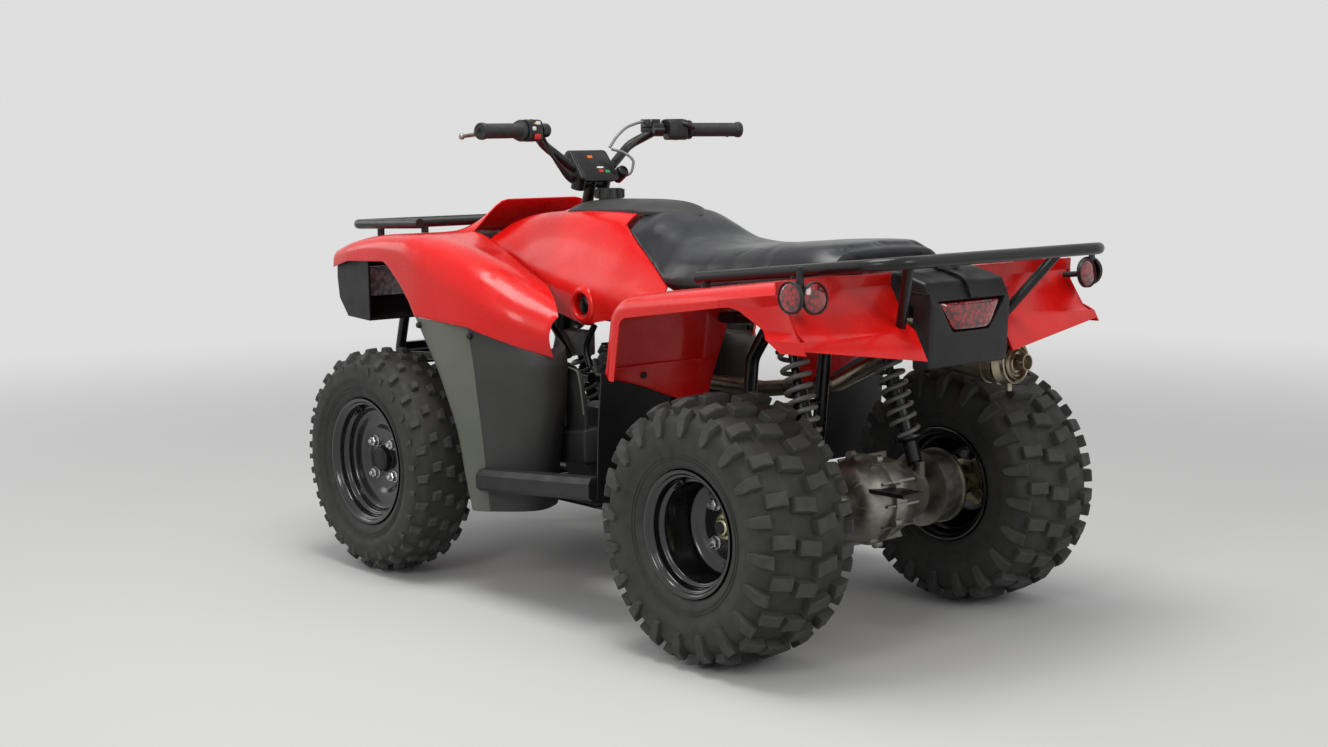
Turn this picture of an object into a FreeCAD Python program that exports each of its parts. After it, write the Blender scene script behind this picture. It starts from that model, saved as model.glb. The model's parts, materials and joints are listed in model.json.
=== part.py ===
import FreeCAD, Part
import math
import os
from functools import lru_cache

V = FreeCAD.Vector

# Utility quad bike, two wheel drive, solid rear axle. Millimetres. +X forward, +Y left, +Z up.
# The origin is on the ground under the centre of the bounding box.
# Points written as (x, y, z), (x, z) or (y, z) are places on the vehicle; other sizes have a name.

# Chassis layout
front_axle_x = 585.0
rear_axle_x = -545.0
front_track = 858.0
rear_track = 746.0
ground_clear = 156.0
tail_x = -951.0
nose_x = 951.0

# Fits
panel_gap = 0.3
running_gap = 0.3
axle_fit = 0.05
bolt_gap = 0.2

# Tyres
front_tyre_r = 268.0
rear_tyre_r = 266.0
front_tyre_w = 166.0
rear_tyre_w = 230.0
tyre_facets = 32
lug_height = 14.0
lug_root = 16.0
bulge_share = 0.42
shoulder_share = 0.93
crown_share = 0.60
shoulder_drop = 0.13
bead_inset = 2.0

# Rims
front_rim_r = 152.0
rear_rim_r = 127.0
front_rim_w = 140.0
rear_rim_w = 202.0
rim_wall = 4.0
rim_lip = 5.0
rim_flange_w = 6.0
rim_flange_h = 10.0
rim_seat_start = 12.0
rim_seat_end = 26.0
rim_seat_rake = 2.0
rim_well_start = 38.0
rim_well_depth = 26.0
rim_well_fillet = 10.0
disc_dish = 12.0
disc_dish_r = 70.0
disc_shoulder_r = 84.0
disc_hole_r = 32.0
front_disc_inset = 52.0
rear_disc_inset = 108.0

# Hubs
stud_count = 4
stud_first_deg = 45.0
stud_circle_r = 55.0
stud_r = 7.0
stud_reach = 22.0
nut_r = 11.0
nut_h = 13.0
flange_r = 68.0
front_flange_h = 20.0
rear_flange_h = 9.0
front_drum_r = 78.0
front_nose_r = 30.0
front_nose_h = 24.0
rear_boss_r = 28.0
rear_boss_in_y = 304.0
rear_boss_out = 18.0
spindle_r = 14.0
spindle_reach = 20.0
axle_r = 15.0
axle_reach = 12.0

# Steering
kingpin_y = 330.0
caster_deg = 4.0
king_low = -96.0
king_high = 104.0
ball_len = 26.0
ball_r = 15.0
arm_eye_low = 26.0
knuckle_arm = 62.0
steer_arm_r = 6.5
arm_boss_r = 11.0
arm_boss_half = 8.0
brake_plate_y = 357.0
brake_plate_r = 84.0
brake_plate_wall = 4.0
brake_gap = 1.0
neck_out_r = 26.0
neck_start = 4.0
stem_deg = 19.0
stem_foot_x = 530.0
stem_foot_z = 330.0
stem_length = 640.0
stem_r = 14.0
stem_tail = 62.0
pitman_along = -14.0
pitman_arm = 60.0
pitman_wall = 10.0
pitman_hub_r = 24.0
pitman_end = 12.0
pitman_root_half = 20.0
tie_pin_y = 14.0
tie_pin_drop = 24.0
tie_eye_r = 11.0
tie_eye_h = 10.0
tie_eye_along = 17.0
tie_rod_r = 6.0
pin_r = 5.0
eye_thick = 9.0
eye_lift = 6.0
eye_bore = 9.0
eye_wall = 5.0
clamp_y = 38.0
clamp_r = 17.0
clamp_low = 30.0
clamp_rise = 8.0
clamp_bar_r = 12.0
clamp_bar_drop = 16.0

# Handlebar and its fittings
bar_r = 11.0
bar_bend = 50.0
grip_r = 17.0
grip_flange_w = 8.0
grip_flange_h = 6.0
grip_end_y = 392.0
grip_cap = 3.0
control_r = 26.0
control_start = 6.0
control_end = 58.0
perch_at = 34.0
perch_r = 13.0
lever_r = 6.0
pod_half = 84.0
pod_round = 10.0

# Frame
rail_r = 15.0
sub_r = 12.0
rail_y = 110.0
nose_rail_y = 99.0
waist_rail_y = 93.5
rail_lift = 6.0
head_tube_r = 26.0
foot_tube_r = 24.0
frame_bend = 60.0
upper_bend = 70.0
tail_rail_x = -430.0
tail_rail_z = 671.0
tail_rail_slope = 0.06

# Suspension
arm_r = 11.0
arm_pivot_y = 132.0
arm_bush_r = 14.0
arm_bush_half = 22.0
arm_bush_out = 2.0
arm_sink = 4.0
lower_arm_z = 186.0
upper_arm_z = 416.0
lower_arm_xs = (672.0, 492.0)
upper_arm_xs = (640.0, 528.0)
coil_count = 9
coil_disc = 4.0
damper_rod_r = 9.0
rear_coil_r = 27.0
rear_wire_r = 5.5
rear_coil_disc_r = 23.0
rear_body_r = 22.0
rear_body_len = 120.0
rear_top_r = 26.0
rear_top_len = 60.0
front_coil_r = 25.0
front_wire_r = 5.0
front_coil_disc_r = 21.0
front_body_r = 20.0
front_body_len = 130.0
front_top_r = 24.0
front_top_len = 60.0
swing_pivot_x = -240.0
swing_pivot_z = 300.0
swing_tube_r = 17.0
swing_pivot_r = 26.0
swing_pivot_half = 60.0

# Rear drive
housing_r = 30.0
housing_y = 300.0
case_r = 88.0
case_step = 2.0
drum_r = 78.0
drum_in_y = 196.0
drum_out_y = 262.0
case_rib_count = 12
case_rib_w = 5.0
case_rib_h = 5.0
part_flange_w = 8.0
part_flange_h = 7.0
part_lug_r = 9.0
part_lug_count = 8

# Engine
crank_low = 196.0
crank_high = 400.0
case_half = 118.0
fin_count = 9
fin_pitch = 16.0
fin_wall = 5.0
fin_low = 416.0
fin_half = 84.0

# Panels
skin = 4.0
neck_r = 26.0
cap_r = 34.0
cap_top_r = 31.0
cap_h = 24.0
cap_low = 884.0
filler_x = 257.0
knob_x = 106.0
knob_z = 651.0
knob_hole_r = 27.0
knob_ring_r = 44.0
knob_r = 21.0
knob_face_y = 204.0
knob_wall = 17.0
valve_stem_r = 8.0
valve_in_y = 128.0

# Racks and bumper
rack_tube_r = 12.0
cross_tube_r = 9.6
slat_r = 8.0
rack_half = 330.0
rack_bend = 70.0
front_rack_z = 828.0
front_rack_x0 = 575.0
front_rack_x1 = 892.0
front_rack_fall = 0.032
rear_rack_z0 = 747.0
rear_rack_x0 = -427.0
rear_rack_slope = 0.0954
bumper_r = 13.0
bumper_bend = 60.0

# Lamps and reflectors
lens_inset = 0.3
reflector_r = 29.0
headlamp_in_y = 170.0
headlamp_out_y = 330.0
headlamp_low = 640.0
headlamp_high = 712.0
headlamp_back_x = 806.0
headlamp_face_x = 856.0
headlamp_round = 8.0

# Exhaust
pipe_r = 19.0
pipe_bend = 60.0
can_r = 50.0
can_cap_r = 48.0
can_cap_end_r = 30.0
tip_r = 16.0
drain_r = 6.0

# Skid plate and hitch
skid_half = 118.0
skid_wall = 4.0
hitch_half = 30.0
hitch_wall = 8.0
hitch_top = 304.0
hitch_hole_r = 8.0


def placed(shape, pos=(0, 0, 0), axis=(0, 0, 1), angle=0.0):
    """A copy turned about an axis through the origin, then moved."""
    copy = shape.copy()
    copy.Placement = FreeCAD.Placement(V(*pos), FreeCAD.Rotation(V(*axis), angle)).multiply(copy.Placement)
    return copy


def mirrored(shape):
    return shape.mirror(V(0, 0, 0), V(0, 1, 0))


def both(shape):
    """The shape and its mirror image, as one compound."""
    return Part.makeCompound([shape, mirrored(shape)])


def fused(shapes):
    shapes = list(shapes)
    if len(shapes) == 1:
        return shapes[0]
    return shapes[0].multiFuse(shapes[1:])


def rod(start, end, radius, end_radius=None):
    """A round bar between two points, or a cone where an end radius is given."""
    a, b = V(*start), V(*end)
    along = b - a
    if end_radius is None:
        return Part.makeCylinder(radius, along.Length, a, along)
    return Part.makeCone(radius, end_radius, along.Length, a, along)


def biggest(shape):
    return max(shape.Solids, key=lambda s: s.Volume)


def box(low, high):
    return Part.makeBox(high[0] - low[0], high[1] - low[1], high[2] - low[2], V(*low))


def side_box(side, low, high):
    """A box given for the left side, put on the side asked for."""
    shape = box(low, high)
    return shape if side > 0 else mirrored(shape)


def spun(profile, x, z):
    """A solid of revolution about an axis along Y through (x, z), from a closed (y, radius) profile."""
    pts = [V(x, y, z + r) for y, r in profile]
    return Part.Face(Part.makePolygon(pts + pts[:1])).revolve(V(x, 0, z), V(0, 1, 0), 360)


def bent_path(points, bend):
    """Straight runs joined by tangent arcs, through a list of corner points."""
    pts = [V(*p) for p in points]
    straight = math.radians(89.5)
    longest_share = 0.45
    edges = []
    here = pts[0]
    for before, corner, after in zip(pts, pts[1:], pts[2:]):
        back = (before - corner).normalize()
        ahead = (after - corner).normalize()
        half = back.getAngle(ahead) / 2
        if half > straight:
            continue
        room = longest_share * min((before - corner).Length, (after - corner).Length)
        run = min(bend / math.tan(half), room)
        radius = run * math.tan(half)
        enter = corner + back * run
        leave = corner + ahead * run
        centre = corner + (back + ahead).normalize() * (radius / math.sin(half))
        middle = centre + (corner - centre).normalize() * radius
        edges.append(Part.makeLine(here, enter))
        edges.append(Part.Arc(enter, middle, leave).toShape())
        here = leave
    edges.append(Part.makeLine(here, pts[-1]))
    return Part.Wire(edges)


def tube(points, radius, bend):
    path = bent_path(points, bend)
    start = V(*points[0])
    ring = Part.Wire([Part.makeCircle(radius, start, V(*points[1]) - start)])
    return path.makePipeShell([ring], True, True)


def flat_prism(outline, normal, low, high):
    """A prism of an outline. Normal y takes (x, z) points, z takes (x, y) points, x takes (y, z) points."""
    lift = {
        "x": lambda p: V(low, p[0], p[1]),
        "y": lambda p: V(p[0], low, p[1]),
        "z": lambda p: V(p[0], p[1], low),
    }
    run = {"y": V(0, high - low, 0), "z": V(0, 0, high - low), "x": V(high - low, 0, 0)}
    pts = [lift[normal](p) for p in outline]
    return Part.Face(Part.makePolygon(pts + pts[:1])).extrude(run[normal])


def offset_path(points, distance):
    """Points moved to the right of the way they run, mitred at the corners."""
    out = []
    count = len(points)
    for i, (a, b) in enumerate(points):
        normals = []
        for j in (i - 1, i):
            if 0 <= j < count - 1:
                da, db = points[j + 1][0] - points[j][0], points[j + 1][1] - points[j][1]
                size = math.hypot(da, db)
                normals.append((db / size, -da / size))
        na = sum(n[0] for n in normals) / len(normals)
        nb = sum(n[1] for n in normals) / len(normals)
        scale = distance / (na * na + nb * nb)
        out.append((a + na * scale, b + nb * scale))
    return out


def walled(line, wall):
    """The closed outline of a wall of even thickness to the right of a line."""
    return line + offset_path(line, wall)[::-1]


def section_wire(points, lift, smooth):
    """A closed thin section: an outer line, its inner line, and two short ends."""
    outer = [lift(*p) for p in points]
    inner = [lift(*p) for p in offset_path(points, skin)]
    if not smooth:
        loop = outer + inner[::-1]
        return Part.makePolygon(loop + loop[:1])
    edges = []
    for line in (outer, inner[::-1]):
        curve = Part.BSplineCurve()
        curve.interpolate(line)
        edges.append(curve.toShape())
    return Part.Wire([
        edges[0],
        Part.makeLine(outer[-1], inner[-1]),
        edges[1],
        Part.makeLine(inner[0], outer[0]),
    ])


def skin_loft(stations, axis="x", smooth=True):
    """A thin panel lofted through stations: (place on the axis, section points)."""
    wires = []
    for place, points in stations:
        lift = (lambda a, b, s=place: V(s, a, b)) if axis == "x" else (lambda a, b, s=place: V(a, b, s))
        wires.append(section_wire(points, lift, smooth))
    return Part.makeLoft(wires, True, False)


def full_width(points):
    """A half section, centre to left, made whole: right to left."""
    left = [(y, z) for y, z in points if y > 0]
    centre = [(y, z) for y, z in points if y == 0]
    return [(-y, z) for y, z in left[::-1]] + centre + left


def solid_loft(stations, floor):
    """A closed body lofted along X through half sections, each closed across at its own floor height."""
    wires = []
    for (x, points), low in zip(stations, floor):
        line = [V(x, y, z) for y, z in full_width(points)]
        curve = Part.BSplineCurve()
        curve.interpolate(line)
        right, left = line[0], line[-1]
        base_right, base_left = V(x, right.y, low), V(x, left.y, low)
        wires.append(Part.Wire([
            curve.toShape(),
            Part.makeLine(left, base_left),
            Part.makeLine(base_left, base_right),
            Part.makeLine(base_right, right),
        ]))
    return Part.makeLoft(wires, True, False)


def save(name, shape):
    shape.exportStep(os.path.join("parts", name + ".step"))


# Tyres: a faceted carcass that carries its lugs

def ring_body(profile, facets, x, z):
    """A faceted ring about an axis along Y, from a closed (y, radius) profile."""
    faces = []
    rings = []
    for i in range(facets):
        angle = 2 * math.pi * i / facets
        rings.append([V(x + r * math.cos(angle), y, z + r * math.sin(angle)) for y, r in profile])
    for here, there in zip(rings, rings[1:] + rings[:1]):
        for a, b, c, d in zip(here, here[1:] + here[:1], there[1:] + there[:1], there):
            faces.append(Part.Face(Part.makePolygon([a, b, c, d, a])))
    return Part.Solid(Part.Shell(faces))


def tyre(x, y, radius, width, rim_r, rim_w, lug_rows):
    """lug_rows: (offset across, width across, length round, skew, share of a pitch, copies round)"""
    carcass_r = radius - lug_height
    flat = math.cos(math.pi / tyre_facets)
    bead_r = (rim_r + panel_gap) / flat
    bead = rim_w / 2 - bead_inset
    half = width / 2
    bulge_r = bead_r + bulge_share * (carcass_r - bead_r)
    shoulder_r = carcass_r - shoulder_drop * half
    crown_r = carcass_r / flat
    crown, shoulder = half * crown_share, half * shoulder_share
    left = [(crown, crown_r), (shoulder, shoulder_r), (half, bulge_r), (bead, bead_r)]
    profile = [(-a, r) for a, r in left[::-1]] + left
    body = ring_body([(y + a, r) for a, r in profile], tyre_facets, x, radius)
    lugs = []
    for across, wide, long, skew, share, copies in lug_rows:
        lean = math.radians(skew)
        reach = (long * math.cos(lean) + wide * abs(math.sin(lean))) / 2
        top = math.sqrt(radius ** 2 - reach ** 2)
        blank = box((carcass_r - lug_root, -wide / 2, -long / 2), (top, wide / 2, long / 2))
        bar = placed(blank, (0, y + across, 0), (1, 0, 0), skew)
        for i in range(copies):
            lugs.append(placed(bar, (x, 0, radius), (0, 1, 0), 360.0 * (i + share) / copies))
    return fused([body] + lugs)


def barrel_line(rim_r, half):
    """The tyre side of a rim's barrel, from its well to the edge of the flange, as (across, radius)."""
    seat_r = rim_r - rim_flange_h
    return [(half - rim_well_start, rim_r - rim_well_depth), (half - rim_seat_end, seat_r - rim_seat_rake),
            (half - rim_seat_start, seat_r), (half - rim_flange_w, rim_r), (half, rim_r)]


def barrel_inside(rim_r, half):
    """The open side of the same barrel."""
    seat_r = rim_r - rim_flange_h - rim_wall
    return [(half - rim_well_start, rim_r - rim_well_depth - rim_wall),
            (half - rim_seat_end, seat_r - rim_seat_rake), (half - rim_seat_start + rim_seat_rake, seat_r),
            (half, rim_r - rim_lip)]


def wheel_rim(x, y, z, side, rim_r, rim_w, disc_inset):
    """A pressed steel rim: the outer face looks along side. Revolved about the axle line."""
    half = rim_w / 2
    plate = half - disc_inset
    well_r = rim_r - rim_well_depth - rim_wall
    flat = plate - disc_dish / 2
    back = flat - rim_wall
    disc = [
        (plate + rim_well_fillet, well_r), (plate + disc_dish / 2, disc_shoulder_r), (flat, disc_dish_r),
        (flat, disc_hole_r), (back, disc_hole_r), (back, disc_dish_r + rim_wall / 2),
        (plate + 1, disc_shoulder_r + rim_wall), (plate + rim_wall, well_r),
    ]
    outer_side = barrel_inside(rim_r, half)[::-1]
    inner_side = [(-a, r) for a, r in barrel_inside(rim_r, half)]
    tyre_side = [(-a, r) for a, r in barrel_line(rim_r, half)[::-1]] + barrel_line(rim_r, half)
    outline = outer_side + disc + inner_side + tyre_side
    rim = spun([(y + side * a, r) for a, r in outline], x, z)
    seat = y + side * flat
    for cx, cz in stud_places(x, z):
        rim = rim.cut(rod((cx, seat - stud_reach, cz), (cx, seat + stud_reach, cz), stud_r + bolt_gap))
    return rim


def stud_places(x, z):
    spots = []
    for i in range(stud_count):
        angle = math.radians(stud_first_deg + 360.0 * i / stud_count)
        spots.append((x + stud_circle_r * math.cos(angle), z + stud_circle_r * math.sin(angle)))
    return spots


def studs(x, z, seat_y, side):
    """The studs of a hub with their nuts, seated on the wheel disc."""
    parts = []
    face = seat_y + side * rim_wall
    for cx, cz in stud_places(x, z):
        start = (cx, seat_y - side * rim_flange_w, cz)
        parts.append(rod(start, (cx, seat_y + side * stud_reach, cz), stud_r))
        parts.append(rod((cx, face, cz), (cx, face + side * nut_h, cz), nut_r))
    return parts


# Steering geometry shared by several pieces

def stem_point(along, back=0.0, y=0.0):
    """A point of the steering stem: along the axis from its foot, back at right angles to it."""
    lean = math.radians(stem_deg)
    x = stem_foot_x - along * math.sin(lean) - back * math.cos(lean)
    return (x, y, stem_foot_z + along * math.cos(lean) - back * math.sin(lean))


def king_point(along, side, back=0.0):
    """A point of a kingpin: along its axis from the wheel centre's height."""
    lean = math.radians(caster_deg)
    x = front_axle_x - along * math.sin(lean) - back * math.cos(lean)
    return (x, side * kingpin_y, front_tyre_r + along * math.cos(lean) - back * math.sin(lean))


# Frame

lower_rail = [(722, nose_rail_y, 560), (726, nose_rail_y, 300), (690, rail_y, 0), (-262, rail_y, 0),
              (-322, rail_y, 300), (-350, rail_y, 560), (tail_rail_x, rail_y, 668), (-800, rail_y, 690)]
upper_rail = [(722, nose_rail_y, 540), (640, waist_rail_y, 616), (300, waist_rail_y, 622),
              (-60, nose_rail_y, 606), (swing_pivot_x, rail_y, 640), (-392, rail_y, 650)]
nose_cross = (726, 470)
low_cross_xs = (690, 470, swing_pivot_x)
back_cross = (-336, 440)
tail_cross_xs = (-480, -640, -790)
top_crosses = [(600, 617), (420, 620), (-100, 612)]
head_span = (250, 330)
foot_span = (-60, -24)
foot_bridge_z = (270, 284)
foot_bridge_half = 20.0
post_half = (16.0, 8.0)
pivot_boss = (60, 90, 22.0)
pivot_plate = ((-330, 80, 284), (swing_pivot_x, 100, 316))
# start, end, radius of the struts that carry the panels, left side
fender_strut = ((640, 93, 614), (660, 180, 830), 8)
fascia_strut = ((726, 99, 520), (880, 122, 650), 8)
tank_strut = ((180, 95, 616), (180, 230, 655), 8)
seat_strut = ((-420, rail_y, 660), (-420, rail_y, 760), 9)
tail_strut = ((-680, rail_y, 683), (-680, 240, 765), 8)
step_strut = ((-134, rail_y, 0), (-134, 395, 262), 10)
valve_strut = ((knob_x, nose_rail_y, 613), (knob_x, 134, knob_z - 10), 7)
seat_nose_strut = ((-100, 0, 612), (-100, 0, 800), 9)


def rail_base():
    """Height of the lower rails' centre lines."""
    return ground_clear + rail_r + rail_lift


def on_side(side, point):
    """A left side point on the side asked for. A height of 0 means the lower rails' height."""
    return (point[0], side * point[1], point[2] or rail_base())


def strut(start, end, radius, target):
    """A bar from start towards end that stops where it meets its target."""
    bar = rod(start, end, radius).cut(target)
    return min(bar.Solids, key=lambda s: s.CenterOfMass.distanceToPoint(V(*start)))


def frame_rails():
    parts = []
    for side in (1, -1):
        parts.append(tube([on_side(side, p) for p in lower_rail], rail_r, frame_bend))
        parts.append(tube([on_side(side, p) for p in upper_rail], sub_r, upper_bend))
    crosses = [nose_cross, back_cross] + [(x, rail_base()) for x in low_cross_xs]
    crosses += [(x, tail_rail_z + (tail_rail_x - x) * tail_rail_slope) for x in tail_cross_xs]
    for x, z in crosses:
        parts.append(rod((x, -rail_y, z), (x, rail_y, z), sub_r))
    for x, z in top_crosses:
        parts.append(rod((x, -waist_rail_y, z), (x, waist_rail_y, z), sub_r))
    return parts


def stem_bearings():
    """Head tube, foot bearing, and the bridge that carries the foot."""
    head = rod(stem_point(head_span[0]), stem_point(head_span[1]), head_tube_r)
    foot = rod(stem_point(foot_span[0]), stem_point(foot_span[1]), foot_tube_r)
    x = stem_point(sum(foot_span) / 2)[0]
    low, high = foot_bridge_z
    bridge = box((x - foot_bridge_half, -rail_y, low), (x + foot_bridge_half, rail_y, high))
    px, py = post_half
    posts = [side_box(s, (x - px, rail_y - py, rail_base()), (x + px, rail_y + py, high)) for s in (1, -1)]
    return [head, foot, bridge] + posts


def pivot_lugs():
    """Bosses beside the swingarm's pivot, with the plates that hold them to the back rails."""
    parts = []
    y_in, y_out, r = pivot_boss
    x, z = swing_pivot_x, swing_pivot_z
    for s in (1, -1):
        parts.append(rod((x, s * y_in, z), (x, s * y_out, z), r))
        parts.append(side_box(s, *pivot_plate))
    return parts


@lru_cache(maxsize=None)
def frame():
    parts = frame_rails() + stem_bearings() + pivot_lugs()
    wells = {1: footwell(), -1: mirrored(footwell())}
    holders = [(fender_strut, front_fender()), (fascia_strut, front_fascia()), (tank_strut, tank_cover()),
               (seat_strut, seat_space(panel_gap)), (tail_strut, rear_fender())]
    for s in (1, -1):
        for (start, end, radius), target in holders + [(step_strut, wells[s])]:
            parts.append(strut(on_side(s, start), on_side(s, end), radius, target))
    parts.append(strut(*seat_nose_strut, seat_space(panel_gap)))
    parts.append(strut(*valve_strut, fuel_valve()))
    bore_top = stem_point(head_span[1] + foot_tube_r)
    bore = rod(stem_point(-stem_tail - head_tube_r), bore_top, stem_r + running_gap)
    return fused(parts).cut(bore)


# Body panels: feature lines run along the body, and sections are drawn through them

def line_at(line, x):
    """The (y, z) of a feature line at x: a monotone cubic through its (x, y, z) points."""
    pts = sorted(line)
    gaps = [b[0] - a[0] for a, b in zip(pts, pts[1:])]
    out = []
    for k in (1, 2):
        slopes = [(b[k] - a[k]) / gap for a, b, gap in zip(pts, pts[1:], gaps)]
        ends = [slopes[0]]
        for left, right, gl, gr in zip(slopes, slopes[1:], gaps, gaps[1:]):
            if left * right <= 0:
                ends.append(0.0)
            else:
                ends.append(3 * (gl + gr) / ((2 * gr + gl) / left + (gr + 2 * gl) / right))
        ends.append(slopes[-1])
        i = max(j for j in range(len(gaps)) if j == 0 or pts[j][0] <= x)
        t = (x - pts[i][0]) / gaps[i]
        rise = gaps[i] * (t * (1 - t) ** 2 * ends[i] - t * t * (1 - t) * ends[i + 1])
        out.append(pts[i][k] * (1 + 2 * t) * (1 - t) ** 2 + pts[i + 1][k] * (3 - 2 * t) * t * t + rise)
    return tuple(out)


def sections_of(lines, stations):
    return [(x, [line_at(line, x) for line in lines]) for x in stations]


def spaced(start, end, count):
    return [start + (end - start) * i / (count - 1) for i in range(count)]


def shell_of(sections):
    return skin_loft([(x, full_width(points)) for x, points in sections])


# Front fender

fender_front_x = 852.0
fender_rear_x = 84.0
fender_stations = 25
fender_lines = [
    [(852, 0, 742), (765, 0, 770), (680, 0, 788), (600, 0, 803), (560, 0, 832), (525, 0, 858), (84, 0, 870)],
    [(852, 110, 748), (765, 112, 774), (680, 112, 790), (600, 110, 805), (560, 106, 830), (525, 104, 856),
     (440, 130, 838), (259, 150, 790), (84, 170, 740)],
    [(852, 240, 757), (765, 245, 781), (680, 245, 794), (600, 240, 804), (525, 212, 806), (440, 207, 786),
     (350, 211, 744), (259, 214, 706), (160, 216, 668), (84, 218, 640)],
    [(852, 352, 763), (765, 366, 785), (680, 372, 798), (600, 375, 804), (500, 374, 806), (440, 368, 799),
     (350, 352, 780), (259, 335, 748), (160, 304, 690), (84, 262, 640)],
    [(852, 394, 757), (765, 405, 778), (680, 410, 790), (600, 414, 796), (500, 419, 796), (440, 418, 786),
     (350, 408, 764), (259, 392, 729), (160, 356, 672), (84, 306, 622)],
    [(852, 408, 738), (765, 420, 757), (680, 426, 769), (600, 431, 774), (500, 436, 770), (440, 439, 740),
     (350, 432, 705), (259, 419, 672), (160, 381, 626), (84, 319, 586)],
    [(852, 411, 690), (765, 424, 690), (680, 430, 685), (600, 436, 670), (500, 440, 640), (440, 441, 606),
     (350, 433, 596), (259, 419, 584), (160, 374, 548), (84, 300, 520)],
]
# side view of the wheel opening, and of the line where the leg shield takes over
fender_arch = [(870, 712), (852, 716), (762, 735), (580, 742), (556, 732), (500, 690), (462, 652), (441, 621),
               (436, 560), (870, 560)]
border_line = [(60, 530), (84, 541), (160, 573), (259, 606), (350, 614), (441, 621)]
border_floor = [(450, 621), (450, 480), (60, 480)]
# plan view of the space that the tank cover takes
tank_room = [(520, -205), (520, 205), (60, 219), (60, -219)]
panel_low = 480.0
panel_high = 960.0
panel_out = 480.0


@lru_cache(maxsize=None)
def front_fender():
    skin_all = shell_of(sections_of(fender_lines, spaced(fender_front_x, fender_rear_x, fender_stations)))
    well = flat_prism(tank_room, "z", panel_low, panel_high)
    arch = flat_prism(fender_arch, "y", -panel_out, panel_out)
    border = flat_prism(border_line + border_floor, "y", -panel_out, panel_out)
    return skin_all.cut(well).cut(arch).cut(border)


# Tank cover, its top strip, filler and fuel valve

tank_front_x = 505.0
tank_rear_x = -168.0
tank_stations = 20
tank_floor = 560.0
tank_lines = [
    [(505, 0, 836), (440, 0, 850), (350, 0, 860), (259, 0, 866), (180, 0, 870), (106, 0, 870), (20, 0, 864),
     (-60, 0, 842), (-168, 0, 800)],
    [(505, 62, 834), (440, 65, 848), (350, 65, 858), (180, 65, 868), (106, 65, 868), (20, 65, 862),
     (-60, 65, 840), (-168, 65, 798)],
    [(505, 106, 822), (440, 110, 834), (350, 112, 843), (180, 113, 852), (106, 112, 852), (20, 109, 844),
     (-60, 108, 822), (-168, 108, 785)],
    [(505, 145, 802), (440, 146, 808), (350, 150, 806), (180, 153, 806), (20, 151, 798), (-60, 150, 782),
     (-168, 150, 755)],
    [(505, 172, 788), (440, 176, 782), (350, 181, 760), (180, 187, 738), (20, 188, 727), (-60, 189, 716),
     (-168, 191, 703)],
    [(505, 188, 776), (440, 192, 758), (350, 198, 720), (180, 206, 675), (20, 209, 666), (-168, 209, 664)],
    [(505, 196, 764), (440, 200, 738), (350, 205, 684), (259, 206, 650), (180, 204, 624), (106, 202, 610),
     (20, 204, 622), (-60, 206, 636), (-168, 208, 642)],
]
# side view of the line where the seat's nose lies on the tank cover
seat_line = [(42, 830), (-176, 700)]
seat_side_out = 260.0
seat_line_lift = 2.0
seat_line_ahead = 18.0
stem_well = ((318, -88, 780), (470, 88, 900))
# how far the knob's ring laps the hole in the cover, and its profile as (y, radius)
ring_lap = 3.0
knob_ring = [(186, knob_hole_r), (203, knob_hole_r), (209, knob_hole_r + 3), (210, knob_hole_r + 7),
             (206, knob_hole_r + 13), (196, knob_ring_r), (190, knob_ring_r), (190, knob_hole_r + 12),
             (186, knob_hole_r + 5)]


@lru_cache(maxsize=None)
def tank_core(grow):
    """The space that the tank cover encloses, grown all round by a clearance."""
    sections = sections_of(tank_lines, spaced(tank_front_x, tank_rear_x, tank_stations))
    sections = [(x, [(y + grow if y else y, z + grow) for y, z in points]) for x, points in sections]
    return solid_loft(sections, [tank_floor] * len(sections))


def filler_hole():
    return rod((filler_x, 0, stem_well[0][2]), (filler_x, 0, panel_high), neck_r + panel_gap)


@lru_cache(maxsize=None)
def tank_cover():
    skin_all = shell_of(sections_of(tank_lines, spaced(tank_front_x, tank_rear_x, tank_stations)))
    above_seat = [(x, panel_high) for x, z in seat_line[::-1]]
    seat_side = flat_prism(seat_line + above_seat, "y", -seat_side_out, seat_side_out)
    hole = rod((knob_x, valve_in_y, knob_z), (knob_x, seat_side_out, knob_z), knob_hole_r + ring_lap)
    ring = spun(knob_ring, knob_x, knob_z)
    return skin_all.cut(seat_side).cut(box(*stem_well)).cut(filler_hole()).cut(hole).fuse(ring)


# fuel valve: body below the cover, and the knob's hollow face and wing
valve_half = 15.0
valve_depth = 24.0
knob_chamfer = 2.0
wing_half = 4.0
wing_rise = 3.0
wing_short = 5.0


@lru_cache(maxsize=None)
def fuel_valve():
    """The valve under the tank, left, and its knob in the ring of the cover."""
    x, z, half = knob_x, knob_z, valve_half
    body = box((x - half, valve_in_y, z - half), (x + half, valve_in_y + valve_depth, z + half))
    stem = rod((x, valve_in_y, z), (x, knob_face_y, z), valve_stem_r)
    disc = rod((x, knob_face_y - knob_wall, z), (x, knob_face_y, z), knob_r, knob_r - knob_chamfer)
    reach = knob_r - wing_short
    wing_back = (x - wing_half, knob_face_y - knob_chamfer, z - reach)
    wing = box(wing_back, (x + wing_half, knob_face_y + wing_rise, z + reach))
    return fused([body, stem, disc, wing])


# x and height of the strip's top, and its half section below that height
top_spine = [(300, 876), (214, 881), (100, 883), (-18, 877), (-74, 854)]
top_section = [(0, 0), (55, -3), (86, -11), (98, -20)]
top_depth = 36.0


@lru_cache(maxsize=None)
def tank_top():
    """The textured cover strip along the top of the tank, with the filler neck through it."""
    stations = [(x, [(y, top + drop) for y, drop in top_section]) for x, top in top_spine]
    strip = solid_loft(stations, [top - top_depth for x, top in top_spine])
    return biggest(strip.cut(tank_core(0.0)).cut(seat_space(panel_gap)).cut(filler_hole()))


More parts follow.
